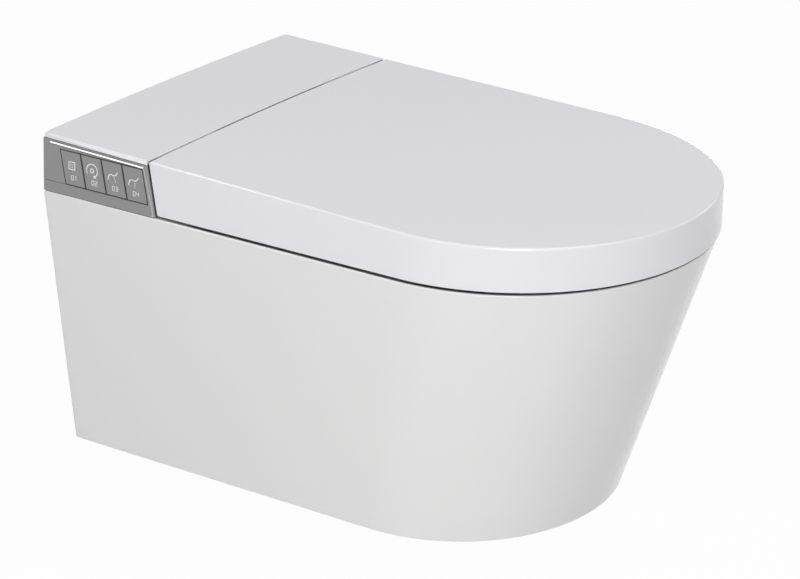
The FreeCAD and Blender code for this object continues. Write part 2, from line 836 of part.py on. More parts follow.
def make_chassis():
    """Open tray on the ceramic deck: floor, four walls, a saddle for the wand
    guide, posts for the control board and two shelves for the hinges."""
    body = new_body("unit_chassis")
    outer = new_sketch(body, "YZ_Plane", "tray_outer")
    flank_profile(outer, DECK, "cover_edge + part_gap", "-wall_gap", TRAY_FRONT)
    pad(body, outer, "2 * chassis_half", middle=True)
    inner = new_sketch(body, "YZ_Plane", "tray_inner")
    inner_rear = "(-wall_gap - chassis_wall)"
    inner_front = f"({TRAY_FRONT} + chassis_wall)"
    flank_profile(inner, FLOOR_TOP, "-4 * cover_edge", inner_rear, inner_front)
    pocket(body, inner, "2 * (chassis_half - chassis_wall)", middle=True)
    for side, label in ((-1, "left"), (1, "right")):
        shelf = new_sketch(body, "XY_Plane", "shelf_" + label, DECK)
        near = f"({eye_span(4)[0]} - shelf_margin)"
        far = f"({eye_span(1)[1]} + shelf_margin)"
        back = lean(f"{TRAY_FRONT} + overcut", DECK)
        left, right = (near, far) if side > 0 else (f"-{far}", f"-{near}")
        draw_box(shelf, left, right, f"({lean(HOUSE_FRONT, DECK)} - shelf_depth)", back)
        pad(body, shelf, "chassis_floor")
    saddle = new_sketch(body, "YZ_Plane", "saddle")
    saddle_front = "(-wand_opening + overcut)"
    saddle_rear = "(-wand_opening + overcut + saddle_length)"
    draw_loop(saddle, [
        (saddle_front, f"({FLOOR_TOP} - overcut)"),
        (saddle_rear, f"({FLOOR_TOP} - overcut)"),
        (saddle_rear, guide_under(saddle_rear)),
        (saddle_front, guide_under(saddle_front)),
    ])
    pad(body, saddle, "2 * (guide_half_width - shroud_wall)", middle=True)
    posts = new_sketch(body, "XY_Plane", "board_posts", f"{FLOOR_TOP} - overcut")
    for x, y in board_corners():
        draw_circle(posts, x, y, "post_radius")
    pad(body, posts, "board_height + overcut")
    opening = new_sketch(body, "XY_Plane", "wand_mouth", f"{DECK} - overcut")
    mouth_half = "(notch_half_width - chassis_wall)"
    draw_box(opening, f"-{mouth_half}", mouth_half, "(-housing_depth - 2 * shelf_depth)", "(-wand_opening)")
    pocket(body, opening, "mouth_height + overcut", reverse=True)
    window = new_sketch(body, "YZ_Plane", "key_window", "(-chassis_half - overcut)")
    key_field(window, "window_margin")
    pocket(body, window, "chassis_wall + 2 * overcut", reverse=True)
    ports = new_sketch(body, "XZ_Plane", "rear_ports", "0")
    draw_circle(ports, "-valve_x", "port_height", "fitting_radius + port_gap")
    draw_circle(ports, "-gland_x", "port_height", "gland_radius + pin_fit")
    pocket(body, ports, "wall_gap + chassis_wall + overcut", reverse=True)
    bolts = new_sketch(body, "XY_Plane", "floor_holes", f"{FLOOR_TOP} + overcut")
    for side in (-1, 1):
        draw_circle(bolts, f"{side} * bolt_x", "-bolt_y", "bolt_radius + part_gap")
    pocket(body, bolts, "chassis_floor + 2 * overcut")
    return body


def wand_line(y):
    """Height of the wands' centre line at y."""
    return f"({DECK} + wand_height + (({y}) + wand_rear) * tan(wand_lean))"


def guide_under(y):
    return f"({wand_line(y)} - guide_half_height / cos(wand_lean) - 0.1)"


def board_corners():
    inset = "(post_radius + part_gap)"
    return [(f"(-valve_x + {side} * (board_width / 2 - {inset}))", y)
            for side in (-1, 1)
            for y in (f"(-board_start - {inset})", f"(-board_front + {inset})")]


def key_field(sketch, margin, first=0, count=4):
    """The slanted outline of one or more keys side by side."""
    low = f"({DECK} + key_base - ({margin}))"
    high = f"({DECK} + key_base + key_height + ({margin}))"
    shift = f"(front_lean * (key_height + 2 * ({margin})))"
    rear_high = f"(-key_start - {first} * key_pitch + ({margin}))"
    front_high = f"(-key_start - {first + count - 1} * key_pitch - key_width - ({margin}))"
    draw_loop(sketch, [
        (f"({front_high} - {shift})", low),
        (f"({rear_high} - {shift})", low),
        (rear_high, high),
        (front_high, high),
    ])


def make_side_panel(name, side):
    """Side skin of the housing, leaned to the housing's flare, its slanted
    front edge rounded. The left one carries the keys and the light."""
    body = new_body(name)
    outside = "(-pan_half_width + part_gap)" if side < 0 else "(pan_half_width - part_gap - panel_thick)"
    skin = new_sketch(body, "YZ_Plane", name + "_skin", outside)
    flank_profile(skin, f"({DECK} + part_gap)", "cover_edge + part_gap / 2", "-cover_clear", HOUSE_FRONT)
    pad(body, skin, "panel_thick")
    if side < 0:
        keys = new_sketch(body, "YZ_Plane", "key_opening", f"{outside} - overcut")
        key_field(keys, "key_gap")
        pocket(body, keys, "panel_thick + 2 * overcut", reverse=True)
        groove = new_sketch(body, "YZ_Plane", "light_groove", f"{outside} - overcut")
        light_strip(groove, "key_flange_gap")
        pocket(body, groove, "overcut + light_recess + light_thick + pin_fit", reverse=True)
        seam = new_sketch(body, "YZ_Plane", "seam", f"{outside} - overcut")
        draw_box(seam, "(-key_start - front_lean * key_height)", "overcut",
                 f"({DECK} + key_base - key_gap)", f"({DECK} + key_base)")
        pocket(body, seam, "overcut + seam_depth", reverse=True)
    edge_x = size("pan_half_width - part_gap")
    front_y = size(lean(HOUSE_FRONT, f"{DECK} + roof_height / 2"))

    def front_edge(middle, edge):
        return close_to(abs(middle.x), edge_x) and close_to(middle.y, front_y, 2)

    round_edges(body, "panel_round", front_edge, name + "_front_round")
    tilt_about_y(body, side)
    return body


def light_strip(sketch, margin):
    rear = f"(-light_start + {margin})"
    front = f"(-light_start - light_length - {margin})"
    draw_loop(sketch, [
        (front, f"({roof(front)} - light_drop - light_height - {margin})"),
        (rear, f"({roof(rear)} - light_drop - light_height - {margin})"),
        (rear, f"({roof(rear)} - light_drop + {margin})"),
        (front, f"({roof(front)} - light_drop + {margin})"),
    ])


def make_light_bar():
    body = new_body("light_bar")
    strip = new_sketch(body, "YZ_Plane", "light_strip", "(-pan_half_width + part_gap + light_recess)")
    light_strip(strip, "0")
    pad(body, strip, "light_thick")
    tilt_about_y(body, -1)
    return body


STEM_START = "(-pan_half_width + part_gap + panel_thick + key_flange_gap)"


def make_key(index, name):
    """Slanted key: face, a wider flange that keeps it behind the panel, a stem."""
    body = new_body(name)
    face = new_sketch(body, "YZ_Plane", name + "_face", "(-pan_half_width + part_gap)")
    key_field(face, "0", index, 1)
    pad(body, face, "panel_thick + key_flange_gap + 0.2")
    flange = new_sketch(body, "YZ_Plane", name + "_flange",
                        "(-pan_half_width + part_gap + panel_thick + key_flange_gap)")
    key_field(flange, "0.05", index, 1)
    pad(body, flange, "key_flange")
    lip = new_sketch(body, "YZ_Plane", name + "_lip",
                     "(-pan_half_width + part_gap + panel_thick + key_flange_gap)")
    lip_y = f"(-key_start - {index} * key_pitch - key_width / 2 - front_lean * key_height / 2)"
    draw_box(lip, f"({lip_y} - 6)", f"({lip_y} + 6)", f"({DECK} + key_base - key_lip)",
             f"({DECK} + key_base + key_height + key_lip)")
    pad(body, lip, "key_flange")
    stem = new_sketch(body, "YZ_Plane", name + "_stem", STEM_START)
    draw_circle(stem, lip_y, f"({DECK} + key_base + key_height / 2)", "key_stem")
    pad(body, stem, "key_stem_length")
    tilt_about_y(body, -1)
    return body


BOARD_X = f"({STEM_START} + key_stem_length + key_travel + motor_gap + dome_height)"


def make_key_board():
    body = new_body("key_board")
    board = new_sketch(body, "YZ_Plane", "key_board_outline", BOARD_X)
    key_field(board, "board_margin")
    pad(body, board, "board_thick")
    tilt_about_y(body, -1)
    return body


def make_key_domes():
    """Rubber contact domes, one under each key's stem."""
    body = new_body("key_domes")
    body.AllowCompound = True
    domes = new_sketch(body, "YZ_Plane", "domes", f"({BOARD_X} - dome_height)")
    for index in range(len(KEY_NAMES)):
        middle = f"(-key_start - {index} * key_pitch - key_width / 2 - front_lean * key_height / 2)"
        draw_circle(domes, middle, f"({DECK} + key_base + key_height / 2)", "key_stem")
    pad(body, domes, "dome_height")
    tilt_about_y(body, -1)
    return body


def on_roof(middle):
    crown = size("roof_crown") * (1 - (middle.x / size("top_half_width")) ** 2)
    edge_height = size("deck_height + roof_height") + middle.y * size("roof_slope")
    return close_to(middle.z, edge_height + crown, 0.12)


def make_top_cover():
    """Shallow cap over the housing with the same crown and fall as the lid."""
    body = new_body("top_cover")
    side = new_sketch(body, "YZ_Plane", "cover_side")
    front = "(-housing_depth - cover_lip)"
    draw_loop(side, [
        (front, f"({roof(front)} - cover_edge)"),
        ("-cover_clear", f"({roof('0')} - cover_edge)"),
        ("-cover_clear", f"({roof('0')} + 4 * cover_edge)"),
        (front, f"({roof('0')} + 4 * cover_edge)"),
    ])
    pad(body, side, "2 * top_half_width", middle=True)
    rear = size("-cover_clear")
    round_edges(body, "rear_corner", lambda middle, edge: close_to(middle.y, rear) and is_upright(edge),
                "cover_rear_corners")
    inner = new_sketch(body, "YZ_Plane", "cover_inner")
    draw_loop(inner, [
        (f"({front} + cover_thick)", f"({roof(front)} - cover_edge - overcut)"),
        ("(-cover_clear - cover_thick)", f"({roof('0')} - cover_edge - overcut)"),
        ("(-cover_clear - cover_thick)", f"({roof('0')} - cover_thick)"),
        (f"({front} + cover_thick)", f"({roof(front)} - cover_thick)"),
    ])
    pocket(body, inner, "2 * (top_half_width - cover_thick - panel_thick)", middle=True)
    cut_roof(body, "cover_crown")
    round_edges(body, "top_round", lambda middle, edge: on_roof(middle), "cover_round")
    return body


def make_chassis_bolts():
    body = new_body("chassis_bolts")
    body.AllowCompound = True
    heads = new_sketch(body, "XY_Plane", "bolt_heads", FLOOR_TOP)
    shanks = new_sketch(body, "XY_Plane", "bolt_shanks", f"({DECK} - deck_thick - bolt_reach)")
    for side in (-1, 1):
        draw_circle(heads, f"{side} * bolt_x", "-bolt_y", "bolt_head")
        draw_circle(shanks, f"{side} * bolt_x", "-bolt_y", "bolt_radius")
    pad(body, heads, "bolt_head_height")
    pad(body, shanks, "bolt_reach + deck_thick + chassis_floor + overcut / 2")
    return body


def make_bolt_plugs():
    """Rubber plugs that grip the deck's holes from below."""
    body = new_body("bolt_plugs")
    body.AllowCompound = True
    plugs = new_sketch(body, "XY_Plane", "plugs", f"({DECK} - deck_thick - plug_reach)")
    for side in (-1, 1):
        draw_circle(plugs, f"{side} * bolt_x", "-bolt_y", "plug_radius")
        draw_circle(plugs, f"{side} * bolt_x", "-bolt_y", "bolt_radius + pin_fit")
    pad(body, plugs, "deck_thick + plug_reach")
    return body


# ---------------------------------------------------------------- hinges

def eye_span(order):
    """Near and far X of the hinge line's pieces, counted from the outside:
    lid eye, fixed ear, seat eye, damper, inner ear."""
    widths = ["ear_width", "ear_width", "ear_width", "damper_length", "ear_width / 2"]
    far = "hinge_outer"
    for width in widths[:order]:
        far = f"({far} - {width} - ear_gap)"
    return f"({far} - {widths[order]})", far


def pad_span(body, sketch_name, span, side, draw, cut=False):
    """Pads or cuts a side view through a span of X on one side."""
    near, far = span
    start = near if side > 0 else f"(-{far})"
    sketch = new_sketch(body, "YZ_Plane", sketch_name, start)
    draw(sketch)
    length = f"({far} - {near})"
    return pocket(body, sketch, length, reverse=True) if cut else pad(body, sketch, length)


def draw_eye(sketch):
    draw_circle(sketch, HINGE_Y, HINGE_Z, "eye_radius")


def draw_pin_bore(sketch):
    draw_circle(sketch, HINGE_Y, HINGE_Z, "pin_radius + pin_fit")


RISER_REAR = f"({HINGE_Y} + pin_radius + shelf_inset)"
RISER_FRONT = f"({HINGE_Y} - eye_radius)"


def draw_riser(sketch):
    draw_box(sketch, RISER_FRONT, RISER_REAR, f"({FLOOR_TOP} + overcut)", HINGE_Z)


def draw_bracket_foot(sketch):
    """Foot with sloping sides that rises to the ears."""
    toe = f"({lean(HOUSE_FRONT, DECK)} - shelf_depth + shelf_inset)"
    heel = f"({lean(HOUSE_FRONT, DECK)} - shelf_inset)"
    draw_loop(sketch, [
        (toe, FLOOR_TOP),
        (heel, FLOOR_TOP),
        (heel, f"({FLOOR_TOP} + bracket_foot)"),
        (RISER_REAR, f"({FLOOR_TOP} + 2 * bracket_foot)"),
        (RISER_FRONT, f"({FLOOR_TOP} + 2 * bracket_foot)"),
        (toe, f"({FLOOR_TOP} + bracket_foot)"),
    ])


def make_hinge_bracket(side, name):
    """Fixed bracket: a foot on the chassis shelf and two ears with the pin's
    bores; the seat's eye and the damper sit between the ears."""
    body = new_body(name)
    whole = (eye_span(4)[0], eye_span(1)[1])
    pad_span(body, name + "_foot", whole, side, draw_bracket_foot)
    for order, label in ((1, "outer"), (4, "inner")):
        pad_span(body, f"{name}_{label}_riser", eye_span(order), side, draw_riser)
        pad_span(body, f"{name}_{label}_eye", eye_span(order), side, draw_eye)
        pad_span(body, f"{name}_{label}_bore", eye_span(order), side, draw_pin_bore, cut=True)
    return body


def make_hinge_pins():
    body = new_body("hinge_pins")
    body.AllowCompound = True
    whole = (eye_span(4)[0], eye_span(0)[1])
    for side, label in ((-1, "left"), (1, "right")):
        pad_span(body, "pin_" + label, whole, side,
                 lambda sketch: draw_circle(sketch, HINGE_Y, HINGE_Z, "pin_radius"))
    return body


def make_damper(side, name):
    """Slow-close damper barrel on the hinge pin, between the bracket's ears."""
    body = new_body(name)

    def draw_barrel(sketch):
        draw_circle(sketch, HINGE_Y, HINGE_Z, "eye_radius - motor_gap")
        draw_circle(sketch, HINGE_Y, HINGE_Z, "pin_radius + pin_fit")

    pad_span(body, name + "_barrel", eye_span(3), side, draw_barrel)
    return body


# ---------------------------------------------------------------- lid

def lid_section(body, name, height, wall, rear):
    sketch = new_sketch(body, "XY_Plane", name, height)
    half = f"(top_half_width + flare * ({roof('0')} - ({height})) / roof_height - ({wall}))"
    draw_d(sketch, half, rear, f"(lid_length - ({wall}))", "lid_inset")
    return sketch


def cut_behind(body, name, line_top, low, high):
    """Trims the lid's rear along the slanted split."""
    sketch = new_sketch(body, "YZ_Plane", name)
    draw_loop(sketch, [
        (lean(line_top, low), low),
        ("0", low),
        ("0", high),
        (lean(line_top, high), high),
    ])
    return pocket(body, sketch, "2 * (top_half_width + 10 * flare)", middle=True)


LID_HIGH = f"({roof('0')} + 4 * roof_crown)"
LID_START = "(-housing_depth / 2)"


def make_lid_shell():
    """Lid: a crowned roof with a deep skirt, open below, with a short rear
    flange that is notched round the hinges, and two eyes on the hinge line."""
    outer = new_body("lid_outer")
    loft(outer, [lid_section(outer, "lid_low", LID_LOW, "0", LID_START),
                 lid_section(outer, "lid_high", LID_HIGH, "0", LID_START)])
    cut_behind(outer, "lid_split", LID_REAR, f"({LID_LOW} - overcut)", f"({LID_HIGH} + overcut)")
    cut_roof(outer, "lid_crown")
    round_edges(outer, "lid_round", lambda middle, edge: on_roof(middle), "lid_top_round")
    low = size(LID_LOW)
    rear_low = size(lean(LID_REAR, LID_LOW))
    round_edges(outer, "lid_foot", lambda middle, edge: close_to(middle.z, low) and middle.y < rear_low - 1,
                "lid_foot_round")

    void = new_body("lid_void")
    below = f"({LID_LOW} - overcut)"
    loft(void, [lid_section(void, "void_below", below, "lid_wall", LID_START),
                lid_section(void, "void_above", LID_HIGH, "lid_wall", LID_START)])
    flange_low = f"({roof(LID_REAR)} - flange_depth)"
    cut_behind(void, "flange", f"({LID_REAR} - lid_roof)", flange_low, f"({LID_HIGH} + overcut)")
    for side, label in ((-1, "left"), (1, "right")):
        notch = new_sketch(void, "XY_Plane", "flange_notch_" + label, f"({flange_low} - overcut)")
        near = f"({eye_span(4)[0]} - shelf_margin)"
        far = f"({eye_span(0)[1]} + lid_split)"
        left, right = (near, far) if side > 0 else (f"-{far}", f"-{near}")
        draw_box(notch, left, right, f"({HINGE_Y} - 2 * eye_radius)", f"({LID_REAR} + lid_split)")
        pad(void, notch, "flange_depth + 2 * overcut")
    cut_roof(void, "void_crown", "(-lid_roof)")

    shell = doc.addObject("Part::Cut", "lid_hollow")
    shell.Base = outer
    shell.Tool = void

    eyes = new_body("lid_eyes")
    eyes.AllowCompound = True
    for side, label in ((-1, "left"), (1, "right")):
        pad_span(eyes, "lid_eye_" + label, eye_span(0), side, draw_eye)

        def draw_web(sketch):
            top = f"({roof(HINGE_Y)} - lid_roof + overcut)"
            draw_box(sketch, f"({HINGE_Y} - eye_radius)", f"({HINGE_Y} + eye_radius)", HINGE_Z, top)

        pad_span(eyes, "lid_web_" + label, eye_span(0), side, draw_web)
        pad_span(eyes, "lid_bore_" + label, eye_span(0), side, draw_pin_bore, cut=True)
    lid = doc.addObject("Part::Fuse", "lid_shell")
    lid.Base = shell
    lid.Tool = eyes
    lid.Label = "lid_shell"
    return lid


LINER_LOW = "(-lid_roof - liner_drop - liner_thick)"
SEAT_HALF = "(top_half_width - lid_wall - seat_clear)"
SEAT_LENGTH = "(lid_length - lid_wall - seat_clear)"


def make_lid_liner():
    """Inner panel that closes the lid's underside ahead of the hinges."""
    body = new_body("lid_liner")
    wall = "lid_wall + part_gap"
    start = "(-seat_rear - seat_clear)"
    loft(body, [lid_section(body, "liner_low", SEAT_TOP, wall, start),
                lid_section(body, "liner_high", LID_HIGH, wall, start)])
    cut_roof(body, "liner_crown", "(-lid_roof - liner_drop)")
    below = new_sketch(body, "YZ_Plane", "liner_underside")
    beyond = "(-lid_length - overcut)"
    draw_loop(below, [
        (beyond, SEAT_LOW),
        ("0", SEAT_LOW),
        ("0", f"({roof('0')} + {LINER_LOW})"),
        (beyond, f"({roof(beyond)} + {LINER_LOW})"),
    ])
    pocket(body, below, "2 * (top_half_width + 10 * flare)", middle=True)
    return body


def lid_bumper_places():
    """Two pads over each side of the seat ring and two over its front."""
    side_x = f"((seat_open_half + {SEAT_HALF}) / 2)"
    front_y = f"(-(seat_open_front + {SEAT_LENGTH}) / 2)"
    return [(f"{side} * {x}", y)
            for x, y in ((side_x, "(-seat_open_rear - seat_open_half)"), ("(seat_open_half / 2)", front_y))
            for side in (-1, 1)]


def make_lid_bumpers():
    """Rubber pads under the liner that meet the seat when the lid is shut."""
    body = new_body("lid_bumpers")
    body.AllowCompound = True
    for index, (x, y) in enumerate(lid_bumper_places()):
        sketch = new_sketch(body, "XY_Plane", f"lid_bumper_{index}", f"({SEAT_TOP} + part_gap)")
        draw_circle(sketch, x, y, "bumper_radius")
        under = f"({roof(f'({y} - bumper_radius)')} + {LINER_LOW})"
        pad(body, sketch, f"({under} - {SEAT_TOP} - part_gap - pin_fit)")
    return body


# ---------------------------------------------------------------- seat

# The front feet's direction, in degrees from straight ahead.
FRONT_FOOT_TURN = 41


def seat_ring(sketch, outer_inset, hole_grow):
    draw_d(sketch, f"({SEAT_HALF} - {outer_inset})", f"(-seat_rear - {outer_inset})",
           f"({SEAT_LENGTH} - {outer_inset})", "lid_inset")
    draw_slot(sketch, f"(seat_open_half + {hole_grow})", f"(seat_open_rear - {hole_grow})",
              f"(seat_open_front + {hole_grow})")


def draw_seat_arm(sketch):
    draw_loop(sketch, [
        (f"({HINGE_Y} - eye_radius * 0.75)", f"({HINGE_Z} - eye_radius * 0.6)"),
        (f"({HINGE_Y} + eye_radius * 0.1)", f"({HINGE_Z} + eye_radius * 0.9)"),
        (f"({HINGE_Y} - eye_radius * 0.8)", f"({HINGE_Z} + eye_radius * 0.9)"),
        ("(-seat_rear - arm_root)", f"({SEAT_TOP} - seat_skin / 2)"),
        ("(-seat_rear - arm_root)", f"({SEAT_LOW} + arm_lift)"),
        ("(-seat_rear - overcut)", f"({SEAT_LOW} + arm_lift)"),
    ])


def make_seat_top():
    """Upper seat shell, hollow below, with the two hinge arms."""
    body = new_body("seat_top")
    ring = new_sketch(body, "XY_Plane", "seat_outline", SEAT_LOW)
    seat_ring(ring, "0", "0")
    pad(body, ring, "seat_thick")
    top = size(SEAT_TOP)
    rear = size("-seat_rear")
    round_edges(body, "seat_round", lambda middle, edge: close_to(middle.y, rear) and is_upright(edge),
                "seat_rear_corners")
    round_edges(body, "seat_edge", lambda middle, edge: close_to(middle.z, top), "seat_top_round")
    for side, label in ((-1, "left"), (1, "right")):
        pad_span(body, "seat_arm_" + label, eye_span(2), side, draw_seat_arm)
        pad_span(body, "seat_eye_" + label, eye_span(2), side, draw_eye)
        pad_span(body, "seat_bore_" + label, eye_span(2), side, draw_pin_bore, cut=True)
    cavity = new_sketch(body, "XY_Plane", "seat_cavity", f"({SEAT_LOW} - overcut)")
    seat_ring(cavity, "seat_skin", "seat_skin")
    pocket(body, cavity, "seat_thick - seat_roof + overcut", reverse=True)
    return body


def make_seat_base():
    """Lower seat plate that closes the shell."""
    body = new_body("seat_base")
    ring = new_sketch(body, "XY_Plane", "base_outline", SEAT_LOW)
    seat_ring(ring, "(seat_skin + part_gap / 2)", "(seat_skin + part_gap / 2)")
    pad(body, ring, "seat_skin")
    return body


def make_seat_heater():
    """Heating foil on the inside of the seat's top."""
    body = new_body("seat_heater")
    ring = new_sketch(body, "XY_Plane", "heater_outline", f"({SEAT_TOP} - seat_roof - heater_thick)")
    seat_ring(ring, "heater_inset", "heater_inset")
    pad(body, ring, "heater_thick")
    return body


def make_seat_bumpers():
    """Rubber feet that stand the seat on the ceramic rim."""
    body = new_body("seat_bumpers")
    body.AllowCompound = True
    feet = new_sketch(body, "XY_Plane", "seat_feet", f"({DECK} + part_gap)")
    middle = f"((bowl_half_width + {SEAT_HALF}) / 2)"
    front_y = f"(-bowl_front + bowl_half_width - {middle} * cos({FRONT_FOOT_TURN}))"
    for side in (-1, 1):
        draw_circle(feet, f"{side} * {middle}", "(-bowl_rear - 4 * bumper_radius)", "bumper_radius")
        draw_circle(feet, f"{side} * {middle} * sin({FRONT_FOOT_TURN})", front_y, "bumper_radius")
    pad(body, feet, "seat_lift - part_gap")
    return body


# ---------------------------------------------------------------- wash wands and dryer

def lean_down(body, x):
    """Places a piece drawn along -Y on the wands' slanted line."""
    turn = FreeCAD.Rotation(FreeCAD.Vector(1, 0, 0), size("wand_lean"))
    start = FreeCAD.Vector(x, size("-wand_rear"), size(f"{DECK} + wand_height"))
    body.Placement = FreeCAD.Placement(start, turn)


def make_wand(name, side):
    body = new_body(name)
    tube = new_sketch(body, "XZ_Plane", name + "_tube")
    draw_circle(tube, "0", "0", "wand_radius")
    draw_circle(tube, "0", "0", "wand_bore")
    pad(body, tube, "wand_length - tip_length")
    lean_down(body, size(f"{side} * wand_pitch / 2"))
    return body


def make_wand_tip(name, side):
    """Round-nosed tip with spray holes on top."""
    body = new_body(name)
    profile = new_sketch(body, "XY_Plane", name + "_profile")
    back = "(-wand_length + tip_length)"
    nose = "(-wand_length)"
    draw_loop(profile, [
        ("0", nose),
        ("wand_radius * 0.7", nose),
        ("wand_radius", f"({nose} + wand_radius * 0.6)"),
        ("wand_radius", back),
        ("wand_bore - pin_fit", back),
        ("wand_bore - pin_fit", f"({back} + 5)"),
        ("0", f"({back} + 5)"),
    ])
    turned(body, profile, "Y_Axis")
    holes = new_sketch(body, "XY_Plane", name + "_holes", "wand_radius + 1")
    for step in range(3):
        draw_circle(holes, f"({step} - 1) * 2.6", f"({nose} + 8)", "0.7")
    pocket(body, holes, "4")
    lean_down(body, size(f"{side} * wand_pitch / 2"))
    return body


def make_wand_guide():
    """Block with two long running bores for the wands."""
    body = new_body("wand_guide")
    block = new_sketch(body, "XZ_Plane", "guide_block", "guide_start")
    draw_loop(block, [
        ("-guide_half_width", "(-guide_half_height)"),
        ("guide_half_width", "(-guide_half_height)"),
        ("guide_half_width", "(guide_half_height - 5)"),
        ("(guide_half_width - 5)", "guide_half_height"),
        ("(-guide_half_width + 5)", "guide_half_height"),
        ("-guide_half_width", "(guide_half_height - 5)"),
    ])
    for side in (-1, 1):
        draw_circle(block, f"{side} * wand_pitch / 2", "0", "wand_radius + wand_fit")
    pad(body, block, "guide_length")
    lean_down(body, 0)
    return body


def make_wand_motors():
    """Two small stepper motors beside the guide."""
    body = new_body("wand_motors")
    body.AllowCompound = True
    for side, label in ((-1, "left"), (1, "right")):
        start = "(guide_half_width + 0.1)" if side > 0 else "(-guide_half_width - 0.1 - motor_length)"
        can = new_sketch(body, "YZ_Plane", "motor_" + label, start)
        draw_circle(can, "(-motor_y)", f"({FLOOR_TOP} + motor_radius + 0.02)", "motor_radius")
        pad(body, can, "motor_length")
    return body


def make_wand_shroud():
    """Nose that closes the deck's notch: openings for the wands and the dryer."""
    body = new_body("wand_shroud")
    low = f"({DECK} - notch_depth + part_gap)"
    high = f"({SEAT_LOW} - 1)"
    front = "(-bowl_rear + 7)"
    box = new_sketch(body, "XY_Plane", "shroud_outline", low)
    half = "(notch_half_width - shroud_gap)"
    draw_box(box, f"-{half}", half, front, f"({front} + shroud_length)")
    pad(body, box, f"({high} - {low})")
    hollow = new_sketch(body, "XY_Plane", "shroud_hollow", f"({low} + shroud_wall)")
    draw_box(hollow, f"(-{half} + shroud_wall)", f"({half} - shroud_wall)",
             f"({front} + shroud_wall)", f"({front} + shroud_length + 1)")
    pocket(body, hollow, f"({high} - {low} - 2 * shroud_wall)", reverse=True)
    mouths = new_sketch(body, "XZ_Plane", "shroud_mouths", f"(-{front} + 1)")
    for side in (-1, 1):
        draw_circle(mouths, f"{side} * wand_pitch / 2", wand_line(f"({front} + 1)"), "wand_radius + 1.6")
    draw_box(mouths, "(duct_centre - duct_width / 2 - 1)", "(duct_centre + duct_width / 2 + 1)",
             f"({wand_line(front)} - duct_height / 2)", f"({wand_line(front)} + duct_height / 2 + 2)")
    pocket(body, mouths, "shroud_wall + 2")
    return body


def make_air_duct():
    """Flat duct that brings the dryer's air to the shroud."""
    body = new_body("air_duct")
    walls = new_sketch(body, "XZ_Plane", "duct_section", "duct_start")
    draw_box(walls, "(-duct_width / 2)", "(duct_width / 2)", "(-duct_height / 2)", "(duct_height / 2)")
    draw_box(walls, "(-duct_width / 2 + duct_wall)", "(duct_width / 2 - duct_wall)",
             "(-duct_height / 2 + duct_wall)", "(duct_height / 2 - duct_wall)")
    pad(body, walls, "duct_length")
    lean_down(body, size("duct_centre"))
    return body


def make_blower_housing():
    """Volute with a square outlet, an inlet in its lid and the rotor's shaft."""
    body = new_body("blower_housing")
    outline = new_sketch(body, "XY_Plane", "volute", FLOOR_TOP)
    draw_circle(outline, "blower_x", "-blower_y", "blower_radius")
    pad(body, outline, "blower_height")
    neck = new_sketch(body, "XY_Plane", "volute_neck", FLOOR_TOP)
    neck_left = "(duct_centre - duct_width / 2)"
    neck_front = "(-blower_y - blower_radius + 1)"
    draw_box(neck, neck_left, "blower_x", neck_front, f"({neck_front} + 24)")
    pad(body, neck, "neck_height")
    cavity = new_sketch(body, "XY_Plane", "volute_cavity", f"({FLOOR_TOP} + duct_wall)")
    draw_circle(cavity, "blower_x", "-blower_y", "blower_radius - duct_wall")
    pocket(body, cavity, "blower_height - 2 * duct_wall", reverse=True)
    passage = new_sketch(body, "XY_Plane", "neck_passage", f"({FLOOR_TOP} + duct_wall)")
    draw_box(passage, f"({neck_left} + duct_wall)", "blower_x",
             f"({neck_front} + duct_wall)", f"({neck_front} + 24 - duct_wall)")
    pocket(body, passage, "neck_height - 2 * duct_wall", reverse=True)
    mouth = new_sketch(body, "XZ_Plane", "neck_mouth", f"(-{neck_front} + 1)")
    draw_box(mouth, f"({neck_left} + duct_wall)", "(duct_centre + duct_width / 2 - duct_wall)",
             f"({FLOOR_TOP} + duct_wall)", f"({FLOOR_TOP} + neck_height - duct_wall)")
    pocket(body, mouth, "duct_wall + 2")
    inlet = new_sketch(body, "XY_Plane", "volute_inlet", f"({FLOOR_TOP} + blower_height + 1)")
    draw_circle(inlet, "blower_x", "-blower_y", "blower_radius * 0.45")
    pocket(body, inlet, "duct_wall + 2")
    shaft = new_sketch(body, "XY_Plane", "rotor_shaft", f"({FLOOR_TOP} + duct_wall - 0.5)")
    draw_circle(shaft, "blower_x", "-blower_y", "blower_shaft")
    pad(body, shaft, "blower_height - 2 * duct_wall - 4")
    return body


def make_blower_rotor():
    """Rotor: a disc with a hub and forward-curved blades round its rim."""
    body = new_body("blower_rotor")
    radius = "(blower_radius - duct_wall - 6)"
    low = f"({FLOOR_TOP} + duct_wall + rotor_gap)"
    disc = new_sketch(body, "XY_Plane", "rotor_disc", "0")
    draw_circle(disc, "0", "0", radius)
    pad(body, disc, "1.6")
    hub = new_sketch(body, "XY_Plane", "rotor_hub", "0")
    draw_circle(hub, "0", "0", "blower_shaft * 3")
    pad(body, hub, "12")
    bore = new_sketch(body, "XY_Plane", "rotor_bore", "13")
    draw_circle(bore, "0", "0", "blower_shaft + pin_fit")
    pocket(body, bore, "15")
    blade = new_sketch(body, "XY_Plane", "rotor_blade", "1")
    draw_loop(blade, [
        (f"({radius} - 9)", "0"),
        (f"({radius} - 0.5)", "3.4"),
        (f"({radius} - 0.8)", "4.6"),
        (f"({radius} - 9.3)", "1.2"),
    ])
    vane = pad(body, blade, "blower_height - 2 * duct_wall - 2 * rotor_gap - 2")
    doc.recompute()
    ring = body.newObject("PartDesign::PolarPattern", "rotor_blades")
    ring.Originals = [vane]
    axis = [item for item in body.Origin.OriginFeatures if item.Role == "Z_Axis"][0]
    ring.Axis = (axis, [""])
    ring.Angle = 360
    bind(ring, "Occurrences", "blade_count")
    body.Tip = ring
    body.Placement = FreeCAD.Placement(
        FreeCAD.Vector(size("blower_x"), size("-blower_y"), size(low)), FreeCAD.Rotation())
    return body


